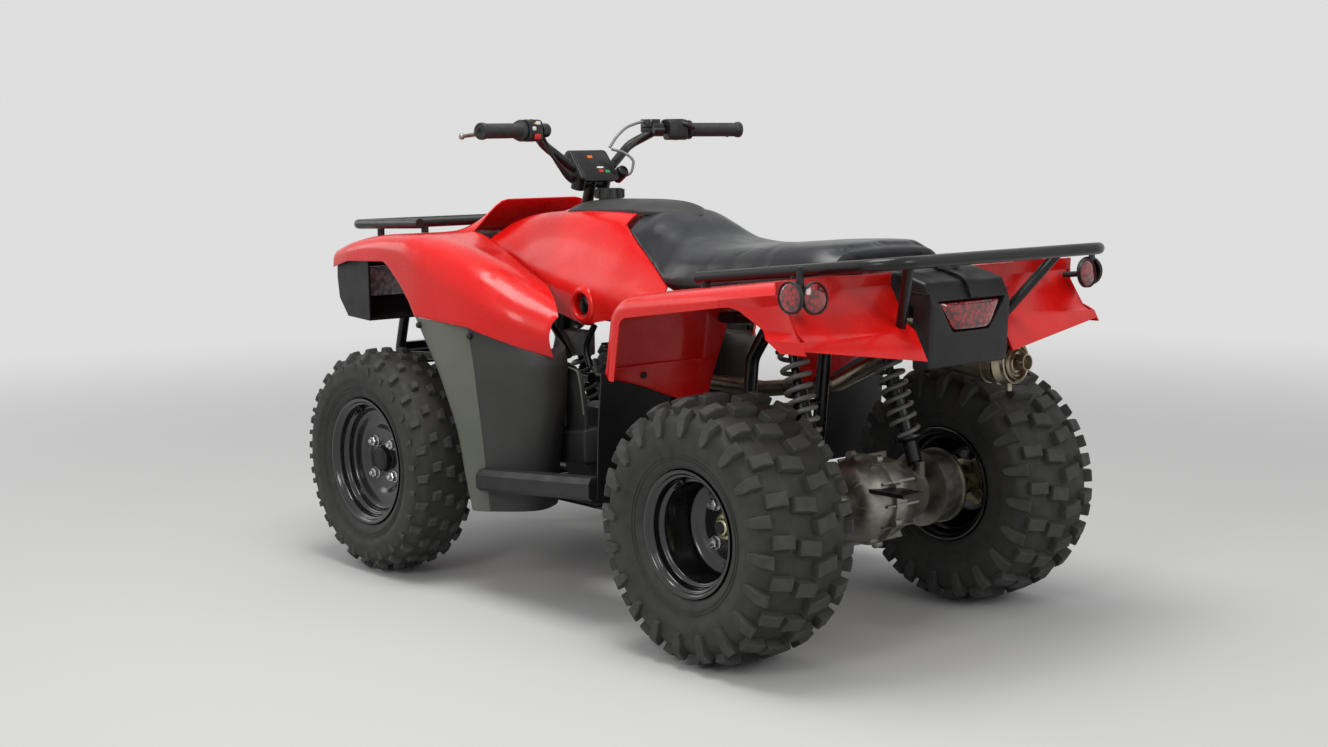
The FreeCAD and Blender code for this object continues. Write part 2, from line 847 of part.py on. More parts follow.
cap_rib_count = 8
cap_rib = ((28, -4, 2), (36, 4, 22))


def fuel_cap():
    low, high = cap_rib
    neck = rod((filler_x, 0, stem_well[0][2]), (filler_x, 0, cap_low), neck_r)
    cap = rod((filler_x, 0, cap_low), (filler_x, 0, cap_low + cap_h), cap_r, cap_top_r)
    rib = box((low[0], low[1], cap_low + low[2]), (high[0], high[1], cap_low + high[2]))
    ribs = [placed(rib, (filler_x, 0, 0), (0, 0, 1), 360.0 * i / cap_rib_count) for i in range(cap_rib_count)]
    return fused([neck, cap] + ribs)


# Seat: x, half section from the middle to the edge, and the height of its base

seat_sections = [
    (38, [(0, 860), (60, 858), (98, 845), (128, 828), (148, 814)], 806),
    (-20, [(0, 862), (60, 860), (100, 846), (138, 816), (162, 790)], 776),
    (-76, [(0, 842), (60, 840), (104, 824), (150, 784), (174, 757)], 745),
    (-150, [(0, 804), (70, 803), (120, 795), (166, 757), (192, 724)], 706),
    (-235, [(0, 793), (80, 793), (140, 786), (186, 757), (200, 724)], 700),
    (-350, [(0, 797), (80, 797), (145, 790), (189, 762), (202, 727)], 700),
    (-445, [(0, 806), (80, 806), (148, 798), (188, 770), (200, 734)], 706),
    (-590, [(0, 812), (80, 811), (140, 804), (176, 780), (190, 752)], 718),
    (-650, [(0, 806), (80, 804), (130, 797), (158, 777), (170, 757)], 724),
]


@lru_cache(maxsize=None)
def seat_space(grow):
    """The seat before it is cut to the tank, grown all round by a clearance."""
    front = seat_sections[0][0]
    sections = [(x + (grow if x == front else 0), [(y + grow if y else y, z + grow) for y, z in pts])
                for x, pts, _ in seat_sections]
    return solid_loft(sections, [floor - grow for _, _, floor in seat_sections])


@lru_cache(maxsize=None)
def seat():
    (x1, z1), (x2, z2) = seat_line
    slope = (z2 - z1) / (x2 - x1)
    lift = seat_line_lift / 2
    front_x = x1 + seat_line_ahead
    line = [(front_x, z1 + slope * seat_line_ahead + lift), (x2, z2 + lift)]
    under = line + [(x2, tank_floor), (front_x, tank_floor)]
    under_cover = flat_prism(under, "y", -seat_side_out, seat_side_out)
    return biggest(seat_space(0.0).cut(tank_core(panel_gap).common(under_cover)))


# Rear fender: one section carried up its front wall, round the corner and back along the top

tail_foot = (-230.0, 512.0)
tail_corner = (-263.0, 704.5)
tail_end = (-868.0, 775.0)
tail_corner_r = 72.0
tail_corner_steps = 4
tail_joint_x = -600.0
tail_top_xs = (-400.0, -500.0, tail_joint_x)
tail_back_xs = (tail_joint_x, -630.0, -660.0, -690.0, -760.0, -868.0)
# rows across the section: y at the front, y at the tail, depth below the path
tail_rows = [(214, 214, 0), (300, 300, -3), (396, 408, 0), (415, 424, 5), (427, 432, 13), (431, 438, 24)]
tail_lip_out = 1.0
tail_lip = [(-200, 46), (-400, 41), (-600, 38)]
tail_lip_steps = (0.72, 0.86, 1.0)
tail_arch = [(-590, 705), (-632, 707), (-652, 702), (-770, 632), (-960, 632), (-960, 500), (-590, 500)]
recess_from = -612.0
recess_full = -690.0
recess_depth = 15.0
recess_top = 44.0
recess_high = 668.0
recess_low = 654.0
tail_deep = 150.0
tail_slope = [(-742.0, 790.0), (-851.0, 600.0)]
wall_top = 762.0
wall_recess_top = 738.0
wall_bottom = 592.0
wall_in_y = 128.0
wall_out_y = 437.0
wall_foot = [(120, 596), (440, 640)]
front_wall_in_y = 150.0
front_wall_out_y = 216.0
front_wall_top = 690.0
front_wall_foot = [(150, 512), (430, 548), (440, 480), (150, 480)]
bridge_x = -664.0
bridge_half = 216.0
box_opening = [(-692, -126), (-692, 126), (-900, 126), (-900, -126)]
trim_x = (-900.0, -700.0)
front_trim_x = (-320.0, -200.0)


def between(points, x):
    """Straight interpolation in a list of (x, value) points."""
    pts = sorted(points)
    for a, b in zip(pts, pts[1:]):
        if x <= b[0]:
            return a[1] + (b[1] - a[1]) * (x - a[0]) / (b[0] - a[0])
    return pts[-1][1]


def under(way):
    """The direction below a path that runs up and back."""
    return V(-way.z, 0, way.x)


def tail_ways():
    foot, corner, end = (V(p[0], 0, p[1]) for p in (tail_foot, tail_corner, tail_end))
    return foot, corner, (corner - foot).normalize(), (end - corner).normalize()


def tail_top(x):
    """Place and direction of the path at x on the fender's top."""
    foot, corner, up, back = tail_ways()
    return corner + back * ((x - corner.x) / back.x), back


def tail_bend():
    """Places and directions round the corner between the front wall and the top."""
    foot, corner, up, back = tail_ways()
    turn = up.getAngle(back)
    inward = under(up)
    centre = corner - up * (tail_corner_r * math.tan(turn / 2)) + inward * tail_corner_r
    places = []
    for i in range(tail_corner_steps + 1):
        angle = turn * i / tail_corner_steps
        way = up * math.cos(angle) + inward * math.sin(angle)
        places.append((centre - under(way) * tail_corner_r, way))
    return places


def tail_across(x):
    """The section's upper rows at x, as (y, depth)."""
    along = min(1.0, (tail_foot[0] - x) / (tail_foot[0] - recess_full))
    return [(front + (rear - front) * along, depth) for front, rear, depth in tail_rows]


def front_section(x):
    rows = tail_across(x)
    lip = between(tail_lip, x)
    out = rows[-1][0] + tail_lip_out
    return rows + [(out, lip * step) for step in tail_lip_steps] + [(out, lip + tail_lip_out)]


def back_section(x, z):
    """Behind the joint the side is deep, with a recess above a proud band."""
    rows = tail_across(x)
    side = rows[-1][0]
    recess = recess_depth * min(1.0, max(0.0, (recess_from - x) / (recess_from - recess_full)))
    return rows + [(side - recess, recess_top), (side - recess, z - recess_high),
                   (side + tail_lip_out, z - recess_low), (side + tail_lip_out, tail_deep)]


def tail_loft(places, section):
    wires = []
    for place, way in places:
        low = under(way)
        line = [(y, -depth) for y, depth in section(place)]
        lift = lambda y, h, p=place, n=low: V(p.x - n.x * h, y, p.z - n.z * h)
        wires.append(section_wire(line, lift, False))
    return Part.makeLoft(wires, True, False)


def slope_x(z):
    (x1, z1), (x2, z2) = tail_slope
    return x1 + (x2 - x1) * (z1 - z) / (z1 - z2)


def tail_wall_line():
    """Side view of the rear wall's outer face, from its top down, with its recess."""
    return [(slope_x(wall_top), wall_top), (slope_x(wall_recess_top) + recess_depth, wall_recess_top),
            (slope_x(recess_high) + recess_depth, recess_high), (slope_x(recess_low), recess_low),
            (slope_x(wall_bottom), wall_bottom)]


def tail_wall(line):
    """Left rear wall, ended below where it meets the sloping foot line."""
    wall = flat_prism(walled(line, -skin), "y", wall_in_y, wall_out_y)
    side = tail_across(recess_full)[-1][0] - recess_depth
    notch_low = (trim_x[0], side - tail_lip_out, recess_low + tail_lip_out)
    notch = box(notch_low, (trim_x[1], panel_out, wall_recess_top))
    below = flat_prism(wall_foot + [(wall_foot[1][0], panel_low), (wall_foot[0][0], panel_low)], "x", *trim_x)
    return wall.cut(notch).cut(below)


def front_wall():
    """The part of the left front wall that reaches in beside the frame."""
    foot, corner, up, back = tail_ways()
    top = foot + up * ((front_wall_top - foot.z) / up.z)
    line = [(foot.x, foot.z), (top.x, top.z)]
    return flat_prism(walled(line, -skin), "y", front_wall_in_y, front_wall_out_y)


@lru_cache(maxsize=None)
def rear_fender():
    line = tail_wall_line()
    (top_x, top_z), (low_x, low_z) = line[0], line[-1]
    far = tail_end[0] * 2
    outline = line + [(far, low_z), (far, panel_high), (top_x, panel_high)]
    behind = flat_prism(outline, "y", -panel_out, panel_out)
    bend = tail_bend()
    foot, corner, up, back = tail_ways()
    runs = [[(foot, up), bend[0]], bend, [bend[-1]] + [tail_top(x) for x in tail_top_xs]]
    half = [tail_loft(run, lambda p: front_section(p.x)) for run in runs]
    arch = flat_prism(tail_arch, "y", -panel_out, panel_out)
    deep = tail_loft([tail_top(x) for x in tail_back_xs], lambda p: back_section(p.x, p.z))
    half += [deep.cut(arch).cut(behind), tail_wall(line), front_wall()]
    foot_trim = flat_prism(front_wall_foot, "x", *front_trim_x)
    half = fused(half).cut(foot_trim)
    start, end = tail_top(bridge_x)[0], tail_top(top_x)[0]
    bridge = flat_prism(walled([(start.x, start.z), (end.x, end.z)], -skin), "y", -bridge_half, bridge_half)
    return fused([half, mirrored(half), bridge.cut(flat_prism(box_opening, "z", panel_low, panel_high))])


# Leg shields, foot rests, pegs and mudguards

shield_stations = [
    (170, [(170, 236), (150, 262), (118, 330), (188, 424), (214, 436), (222, 432)]),
    (268, [(170, 232), (140, 254), (104, 318), (202, 426), (240, 439), (252, 434)]),
    (360, [(170, 228), (126, 254), (92, 308), (212, 426), (262, 440), (276, 435)]),
    (446, [(170, 226), (112, 250), (84, 300), (222, 425), (300, 441), (318, 436)]),
    (520, [(172, 226), (112, 246), (84, 300), (233, 422), (340, 441), (364, 437)]),
    (560, [(176, 226), (120, 246), (98, 306), (240, 419), (372, 440), (396, 436)]),
    (625, [(184, 226), (136, 249), (116, 322), (250, 415), (424, 439), (446, 436)]),
]
shield_top = 700.0
shield_in_y = 150.0
tray_outline = [(-213, 232), (-213, 425), (176, 425), (118, 332), (146, 262), (168, 238), (168, 232)]
tray_low = 244.0
tray_wall = 6.0
tray_rail = [(400, 244), (406, 286), (418, 294), (438, 292), (448, 280), (448, 252), (438, 244)]
tray_rail_core = [(406, 250), (411, 282), (420, 288), (436, 286), (442, 277), (442, 250)]
tray_rail_x = (-213.0, 196.0)
tray_rail_end = [(-260, 230), (-260, 300), (-205, 300), (-213, 276), (-213, 230)]
tray_rib_w = 4.0
tray_rib_h = 6.0
tray_rib_xs = range(-190, 100, 24)
tray_rib_y = (240.0, 401.0)
peg_x = (-150.0, -118.0)
peg_y = (300.0, 398.0)
peg_h = 14.0
tooth_count = 6
tooth_pitch = 16.0
tooth_w = 10.0
tooth_h = 9.0
tooth_wall = 4.0
guard_line = [(-216, 236), (-222, 420), (-236, 552)]
guard_wall = 4.0
guard_y = (236.0, 430.0)


@lru_cache(maxsize=None)
def leg_shield():
    """Left shield: an outer strip behind the wheel, a wall facing back, and a return beside the engine."""
    shield = skin_loft(shield_stations, axis="z", smooth=False)
    line = [(x, z - panel_gap) for x, z in border_line]
    above = line + [(line[-1][0], shield_top), (line[0][0], shield_top)]
    return shield.cut(flat_prism(above, "y", shield_in_y, panel_out)).cut(front_fender())


@lru_cache(maxsize=None)
def footwell():
    """Left foot rest: a ribbed tray with a raised outer rail."""
    top = tray_low + tray_wall
    tray = flat_prism(tray_outline, "z", tray_low, top)
    start, end = tray_rail_x
    rail = flat_prism(tray_rail, "x", start, end)
    core = flat_prism(tray_rail_core, "x", start + tray_wall, end - tray_wall)
    slope = flat_prism(tray_rail_end, "y", tray_rail[0][0] - tray_wall, panel_out)
    low_y, high_y = tray_rib_y
    half = tray_rib_w / 2
    ribs = [box((x - half, low_y, top), (x + half, high_y, top + tray_rib_h)) for x in tray_rib_xs]
    return biggest(fused([tray, rail.cut(core).cut(slope)] + ribs).cut(leg_shield()))


def footpeg():
    """Left serrated peg bar on the tray."""
    low = tray_low + tray_wall + tray_rib_h + panel_gap
    top = low + peg_h
    bar = box((peg_x[0], peg_y[0], low), (peg_x[1], peg_y[1], top))
    teeth = []
    for x in (peg_x[0] + tooth_wall / 2, peg_x[1] - tooth_wall * 1.5):
        for i in range(tooth_count):
            y = peg_y[0] + tooth_w / 2 + tooth_pitch * i
            outline = [(y, top - 2), (y + tooth_w, top - 2), (y + tooth_w / 2, top + tooth_h)]
            teeth.append(flat_prism(outline, "x", x, x + tooth_wall))
    return fused([bar] + teeth)


def mudguard():
    """Left guard between the tray and the rear fender, ahead of the wheel."""
    plate = flat_prism(walled(guard_line, -guard_wall), "y", *guard_y)
    (ya, za), (yb, zb) = front_wall_foot[:2]
    above = flat_prism([(ya, za), (yb, zb), (yb, za + panel_low), (ya, za + panel_low)], "x", *front_trim_x)
    return biggest(plate.cut(above).cut(footwell()).cut(rear_fender()))


# Engine side cover, left: a raised panel over a box, carried by the edge of the leg shield

cover_panel = [(104, 300), (104, 430), (116, 480), (140, 508), (164, 515), (200, 515), (200, 300)]
cover_y = 200.0
cover_wall = 4.0
cover_rim = 5.0
cover_rim_h = 3.0
cover_flange_x = (166.0, 171.0)
cover_flange_y = 234.0
cover_box = ((100, 150, 284), (186, 212, 364))
cover_box_round = 6.0


@lru_cache(maxsize=None)
def side_cover():
    """Left engine cover: a panel with a raised rim, a box under it, and a flange to the leg shield."""
    back, front = cover_panel[0][0], cover_panel[-1][0]
    low, top = cover_panel[0][1], cover_panel[-2][1]
    face = cover_y + cover_wall
    panel = flat_prism(cover_panel, "y", cover_y, face)
    rim = flat_prism(cover_panel, "y", face, face + cover_rim_h)
    arch = [(x + cover_rim, z - cover_rim) for x, z in cover_panel[1:-2]]
    edge = front - cover_rim
    inside = [(back + cover_rim, low)] + arch + [(edge, top - cover_rim), (edge, low)]
    rim = rim.cut(flat_prism(inside, "y", cover_y, face + cover_rim_h))
    flange = box((cover_flange_x[0], cover_y, low), (cover_flange_x[1], cover_flange_y, top))
    case = box(*cover_box)
    case = case.makeFillet(cover_box_round, [e for e in case.Edges if e.BoundBox.YMin > cover_box[1][1] - 1])
    return biggest(fused([panel, rim, flange, case]).cut(engine()).cut(leg_shield()).cut(frame()))


# Racks, fascia, lamps and bumper

rack_cross_xs = (-690, -770, -850)
rack_slat_ys = (-225, -75, 75, 225)
rack_brace = (50.0, 223.0, (-790, 140, 640), 10.0)
rack_leg_xs = (-700, -450)
rack_leg_low = 690.0
rack_leg_r = 9.0
front_cross_xs = (600, 700, 800)
front_slat_ys = (-210, -70, 70, 210)
front_corner = (880.0, 80.0)
front_leg_y = 300.0
front_leg_xs = (600, 800)
front_leg_low = 740.0
slat_drop = 1.0


def rear_rack_z(x):
    return rear_rack_z0 + (rear_rack_x0 - x) * rear_rack_slope


@lru_cache(maxsize=None)
def rear_rack():
    r, half, z = rack_tube_r, rack_half, rear_rack_z
    edge_x = tail_x + r
    loop = [(rear_rack_x0, half, z(rear_rack_x0)), (edge_x, half, z(edge_x)),
            (edge_x, -half, z(edge_x)), (rear_rack_x0, -half, z(rear_rack_x0))]
    parts = [tube(loop, r, rack_bend)]
    for x in rack_cross_xs:
        parts.append(rod((x, -half, z(x)), (x, half, z(x)), cross_tube_r))
    first = rack_cross_xs[0]
    for y in rack_slat_ys:
        parts.append(rod((first, y, z(first)), (edge_x, y, z(edge_x)), slat_r))
    back, brace_y, foot, brace_r = rack_brace
    for s in (1, -1):
        start = (edge_x + back, s * brace_y, z(edge_x + back))
        parts.append(strut(start, (foot[0], s * foot[1], foot[2]), brace_r, rear_fender()))
        for x in rack_leg_xs:
            parts.append(strut((x, s * half, z(x)), (x, s * half, rack_leg_low), rack_leg_r, rear_fender()))
    return fused(parts)


def front_rack_drop(x):
    return front_rack_z - (x - front_rack_x0) * front_rack_fall


@lru_cache(maxsize=None)
def front_rack():
    half, z = rack_half, front_rack_drop
    corner_x, corner_in = front_corner
    left = [(front_rack_x0, half), (corner_x, half), (front_rack_x1, half - corner_in)]
    plan = left + [(x, -y) for x, y in left[::-1]]
    parts = [tube([(x, y, z(x)) for x, y in plan], rack_tube_r, frame_bend)]
    for x in front_cross_xs:
        parts.append(rod((x, -half, z(x)), (x, half, z(x)), cross_tube_r))
    first = front_cross_xs[0]
    for y in front_slat_ys:
        start = (first, y, z(first) - slat_drop)
        parts.append(rod(start, (front_rack_x1, y, z(front_rack_x1) - slat_drop), slat_r))
    for s in (1, -1):
        for x in front_leg_xs:
            top = (x, s * front_leg_y, z(x))
            parts.append(strut(top, (x, s * front_leg_y, front_leg_low), rack_leg_r, front_fender()))
    return fused(parts)


fascia_line = [(842, 775), (846, 690), (838, 640), (800, 596), (700, 590)]
fascia_wall = 6.0
fascia_half = 398.0
fascia_side_wall = 4.0
fascia_side_rear = [(700, 735), (842, 775)]
# slots of the air intake between the headlights, left edge to right edge
intake_half = 120.0
intake_low = 652.0
intake_pitch = 16.0
intake_slot = 8.0
intake_count = 4


@lru_cache(maxsize=None)
def front_fascia():
    """Black moulding under the front of the fender, with pockets for the headlights and an air intake."""
    face = flat_prism(walled(fascia_line, fascia_wall), "y", -fascia_half, fascia_half)
    outline = fascia_line[::-1] + fascia_side_rear[::-1]
    sides = [flat_prism(outline[:-1] + [fascia_side_rear[0]], "y", a, a + fascia_side_wall)
             for a in (-fascia_half - fascia_side_wall, fascia_half)]
    whole = fused([face] + sides)
    for s in (1, -1):
        whole = whole.cut(side_box(s, (headlamp_back_x, headlamp_in_y, headlamp_low),
                                   (nose_x, headlamp_out_y, headlamp_high)))
    for i in range(intake_count):
        low = intake_low + intake_pitch * i
        whole = whole.cut(box((headlamp_back_x, -intake_half, low), (nose_x, intake_half, low + intake_slot)))
    return biggest(whole.cut(front_fender()))


def headlights():
    gap = panel_gap
    low = (headlamp_back_x, headlamp_in_y + gap, headlamp_low + gap)
    lamp = box(low, (headlamp_face_x, headlamp_out_y - gap, headlamp_high - gap))
    face = [e for e in lamp.Edges if e.BoundBox.XMin > headlamp_face_x - 1]
    return both(lamp.makeFillet(headlamp_round, face))


bumper_loop = [(770, 120, 330), (900, 150, 340), (926, 175, 480), (905, 165, 600), (870, 150, 640)]
bumper_stub = ((741, 99, 330), (772, 121, 330))
bumper_tie = ((741, 99, 470), (920, 173, 470), 10.0)
bumper_bars = [(926, 172, 470), (904, 160, 590)]
bumper_plate = ((930, -160, 440), (nose_x, 160, 500))


@lru_cache(maxsize=None)
def bumper():
    parts = []
    for s in (1, -1):
        parts.append(tube([(x, s * y, z) for x, y, z in bumper_loop], bumper_r, bumper_bend))
        start, end = [(x, s * y, z) for x, y, z in bumper_stub]
        parts.append(rod(start, end, bumper_r))
        start, end = [(x, s * y, z) for x, y, z in bumper_tie[:2]]
        parts.append(rod(start, end, bumper_tie[2]))
    for x, y, z in bumper_bars:
        parts.append(rod((x, -y, z), (x, y, z), bumper_r))
    parts.append(box(*bumper_plate))
    return fused(parts).cut(frame()).cut(front_fascia())


# Tail box and rear lamps

box_outline = [(-662, 752), (-760, 762), (-838, 742), (-856, 700), (-846, 580), (-800, 572), (-800, 690),
               (-662, 712)]
box_half = 118.0
box_round = 6.0
lid_line = [(-900, 718), (-640, 741), (-640, 744), (-900, 721)]
lid_groove = 2.0
lens_outline = [(100, 708), (-100, 708), (-52, 648), (52, 648)]
lens_back_x = -832.0
lens_face_x = -866.0
lens_lean = [(-900, 640), (-858, 640), (-864, 720), (-900, 720)]
back_reflector = ((-770, 396, 700), (-822, 400, 704))
side_reflector = ((-735, 412, 700), (-735, 450, 700))


@lru_cache(maxsize=None)
def tail_box():
    """Black box behind the seat with a lid line and a pocket for the tail lamp."""
    body = flat_prism(box_outline, "y", -box_half, box_half)
    low = lens_outline[0][1] - box_round
    back = [e for e in body.Edges if e.BoundBox.XMax < lens_back_x and e.BoundBox.ZMin > low]
    body = body.makeFillet(box_round, back)
    lens = flat_prism(lens_outline, "x", tail_x, lens_back_x)
    band = flat_prism(lid_line, "y", -panel_out, panel_out)
    core = flat_prism(offset_path(box_outline, lid_groove), "y", lid_groove - box_half, box_half - lid_groove)
    body = body.cut(lens).cut(band.cut(core))
    return body.cut(frame()).cut(rear_rack()).cut(rear_fender())


def tail_light():
    middle = (lens_outline[0][1] + lens_outline[-1][1]) / 2
    sign = math.copysign
    inside = [(y - sign(lens_inset, y), z - sign(lens_inset, z - middle)) for y, z in lens_outline]
    lens = flat_prism(inside, "x", lens_face_x, lens_back_x - lens_inset)
    return lens.cut(flat_prism(lens_lean, "y", -box_half, box_half))


def reflectors():
    parts = []
    for start, end in (back_reflector, side_reflector):
        cup = rod(start, end, reflector_r).cut(rear_fender())
        parts.append(max(cup.Solids, key=lambda s: s.CenterOfMass.y - s.CenterOfMass.x))
    return both(Part.makeCompound(parts))


# Engine, drive and suspension

case_x = (-90.0, 270.0)
# x, z, inner y, outer y, root radius, face radius
engine_covers = [(60, 300, 118, 168, 92, 84), (200, 270, 118, 150, 60, 54), (40, 295, -118, -165, 96, 88),
                 (190, 280, -118, -156, 70, 62)]
barrel = ((120, 0, 390), (108, 0, 560), 58)
head_box = ((44, -72, 520), (176, 72, 570))
head_cap = ((110, 0, 570), (110, 0, 588), 50, 40)
fin_x = (26.0, 194.0)
fin_step = 4.0
mount_xs = (-40.0, 220.0)
mount_half = 24.0
mount_lift = 3.0
mount_side = 4.0
mount_sink = 4.0


@lru_cache(maxsize=None)
def engine():
    case = box((case_x[0], -case_half, crank_low), (case_x[1], case_half, crank_high))
    covers = [rod((x, start, z), (x, end, z), root, face) for x, z, start, end, root, face in engine_covers]
    top = [rod(*barrel), box(*head_box), rod(*head_cap)]
    fins = []
    for i in range(fin_count):
        out = i % 2 * fin_step
        low = fin_low + i * fin_pitch
        fins.append(box((fin_x[0] - out, -fin_half, low), (fin_x[1] + out, fin_half, low + fin_wall)))
    deck = ground_clear + 2 * rail_r + mount_lift
    out, top_z, half = rail_y - mount_side, crank_low + mount_sink, mount_half
    mounts = [box((x - half, -out, deck), (x + half, out, top_z)) for x in mount_xs]
    return fused([case] + covers + top + fins + mounts).cut(frame())


swing_tube = [(0, 62, 300), (-360, 66, 292), (rear_axle_x + 30, 178, rear_tyre_r)]
swing_cross = (-400, 110, 288, 14.0)


@lru_cache(maxsize=None)
def swingarm():
    parts = []
    for s in (1, -1):
        pts = [(x or swing_pivot_x, s * y, z) for x, y, z in swing_tube]
        parts.append(tube(pts, swing_tube_r, frame_bend))
    x, z = swing_pivot_x, swing_pivot_z
    parts.append(rod((x, -swing_pivot_half, z), (x, swing_pivot_half, z), swing_pivot_r))
    x, y, z, r = swing_cross
    parts.append(rod((x, -y, z), (x, y, z), r))
    return fused(parts).cut(frame()).cut(final_drive())


# profile of the final drive's case as (y, radius), left to right
case_profile = [(45, 0), (45, 46), (30, 74), (8, case_r), (-60, case_r + case_step), (-96, 80), (-140, 64),
                (-165, 60), (-165, 0)]
case_flange_y = -26.0
case_left_tube = (40.0, 300.0)
case_right_tube = (-160.0, -196.0)
case_nose = ((60, -40, 0), (150, -40, 8), 42, 34)
ear_y = 150.0
ear_half = 8.0
ear_reach = 52.0
ear_h = 70.0
rib_in_y = -92.0
rib_out_y = 4.0
drum_ring_w = 6.0
drum_ring_h = 4.0


@lru_cache(maxsize=None)
def final_drive():
    """Aluminium case with its ribs and bolted flange, axle tubes and brake drum, bored for the axle."""
    x, z = rear_axle_x, rear_tyre_r
    left, right = case_left_tube, case_right_tube
    parts = [spun(case_profile, x, z), rod((x, left[0], z), (x, left[1], z), housing_r),
             rod((x, right[0], z), (x, right[1], z), housing_r)]
    parts.append(rod((x, -drum_in_y, z), (x, -drum_out_y, z), drum_r))
    for y in (drum_in_y, drum_out_y - drum_ring_w):
        parts.append(rod((x, -y, z), (x, -y - drum_ring_w, z), drum_r + drum_ring_h))
    parts.append(rod((x, -drum_out_y, z), (x, -housing_y, z), housing_r))
    start, end, root, tip = case_nose
    parts.append(rod((x + start[0], start[1], z + start[2]), (x + end[0], end[1], z + end[2]), root, tip))
    for s in (1, -1):
        parts.append(side_box(s, (x - ear_reach, ear_y - ear_half, z), (x, ear_y + ear_half, z + ear_h)))
    flange_out = case_r + case_step + part_flange_h
    y0, y1 = case_flange_y - part_flange_w / 2, case_flange_y + part_flange_w / 2
    parts.append(rod((x, y0, z), (x, y1, z), flange_out))
    for i in range(part_lug_count):
        angle = 2 * math.pi * (i + 0.5) / part_lug_count
        cx, cz = x + flange_out * math.cos(angle), z + flange_out * math.sin(angle)
        parts.append(rod((cx, y0 - part_flange_w / 2, cz), (cx, y1 + part_flange_w / 2, cz), part_lug_r))
    half = case_rib_w / 2
    rib = box((case_r / 2, rib_in_y, -half), (case_r + case_step + case_rib_h, rib_out_y, half))
    for i in range(case_rib_count):
        parts.append(placed(rib, (x, 0, z), (0, 1, 0), 360.0 * i / case_rib_count))
    reach = housing_y + housing_r
    return fused(parts).cut(rod((x, -reach, z), (x, reach, z), axle_r + axle_fit))


# lower and upper eye of a shock absorber; in the rear x is counted from the axle
rear_shock_low = (-34.0, 150.0, rear_tyre_r + 60)
rear_shock_top = (70.0, 132.0, 650.0)
rear_coil_start = 70.0
rear_coil_end = 80.0
front_shock_low = (597, 262, 182)
front_shock_top = (588, 118, 604)
front_coil_start = 90.0
front_coil_end = 80.0
# body and top as radius and length, coil, wire and disc radius, and where the coil starts and ends
rear_shock_sizes = (rear_body_r, rear_body_len, rear_top_r, rear_top_len, rear_coil_r, rear_wire_r,
                    rear_coil_disc_r, rear_coil_start, rear_coil_end)
front_shock_sizes = (front_body_r, front_body_len, front_top_r, front_top_len, front_coil_r, front_wire_r,
                     front_coil_disc_r, front_coil_start, front_coil_end)


def coil_over(low, top, sizes):
    """Damper rod, body and top with a coil of rings, each ring joined to the damper by a disc."""
    body_r, body_len, cap_r, cap_len, coil_r, wire_r, disc_r, coil_start, coil_end = sizes
    a, b = V(*low), V(*top)
    run = (b - a).normalize()
    length = (b - a).Length
    parts = [rod(low, top, damper_rod_r), rod(low, tuple(a + run * body_len), body_r),
             rod(tuple(b - run * cap_len), top, cap_r)]
    for i in range(coil_count):
        at = a + run * (coil_start + i * (length - coil_start - coil_end) / (coil_count - 1))
        parts.append(Part.makeTorus(coil_r, wire_r, at, run))
        parts.append(Part.makeCylinder(disc_r, coil_disc, at - run * (coil_disc / 2), run))
    return fused(parts)


@lru_cache(maxsize=None)
def rear_shocks():
    parts = []
    for s in (1, -1):
        low, top = [(rear_axle_x + x, s * y, z) for x, y, z in (rear_shock_low, rear_shock_top)]
        shock = coil_over(low, top, rear_shock_sizes)
        parts.append(biggest(shock.cut(frame()).cut(final_drive()).cut(swingarm())))
    return Part.makeCompound(parts)


def arm_pair(side):
    """Upper and lower A-arms of one side, with the ball joint eyes coaxial with the kingpin."""
    parts = []
    levels = ((king_low - ball_len, king_low, lower_arm_z, lower_arm_xs),
              (king_high, king_high + ball_len, upper_arm_z, upper_arm_xs))
    for low, high, inner_z, spots in levels:
        level = [rod(king_point(low, side), king_point(high, side), ball_r)]
        mid = king_point((low + high) / 2, side)
        mid = (mid[0], mid[1] - side * (ball_r - arm_sink), mid[2])
        bush_y = side * (arm_pivot_y + arm_bush_out)
        for x in spots:
            level.append(rod((x, side * arm_pivot_y, inner_z), mid, arm_r))
            start = (x - arm_bush_half, bush_y, inner_z)
            level.append(rod(start, (x + arm_bush_half, bush_y, inner_z), arm_bush_r))
        parts.append(fused(level))
    return parts


@lru_cache(maxsize=None)
def front_arms(side):
    return Part.makeCompound([p.cut(frame()) for p in arm_pair(side)])


@lru_cache(maxsize=None)
def front_shock(side):
    low, top = [(x, side * y, z) for x, y, z in (front_shock_low, front_shock_top)]
    shock = coil_over(low, top, front_shock_sizes)
    return biggest(shock.cut(front_arms(side)).cut(frame()))


exhaust_path = [(176, -40, 545), (250, -70, 540), (280, -130, 470), (200, -204, 436), (-60, -205, 436),
                (-300, -200, 472), (-460, -222, 556), (-520, -226, 589)]
can = ((-500, -226, 592), (-745, -236, 557))
can_cap = ((-745, -235, 556), (-776, -237.5, 557.5))
tip = ((-770, -237, 557), (-790, -238.5, 558))
drain = ((-755, -236, 556), (-757, -236, 496))
can_band_w = 10.0
can_band_h = 2.5
can_band_xs = (0.12, 0.88)


@lru_cache(maxsize=None)
def exhaust():
    parts = [tube(exhaust_path, pipe_r, pipe_bend), rod(*can, can_r), rod(*can_cap, can_cap_r, can_cap_end_r),
             rod(*tip, tip_r), rod(*drain, drain_r)]
    start, end = V(*can[0]), V(*can[1])
    run = (end - start).normalize()
    for share in can_band_xs:
        at = start + (end - start) * share
        parts.append(Part.makeCylinder(can_r + can_band_h, can_band_w, at - run * (can_band_w / 2), run))
    return fused(parts).cut(engine()).cut(frame())


skid_line = [(740, 24), (700, 0), (-250, 0), (-262, 8)]


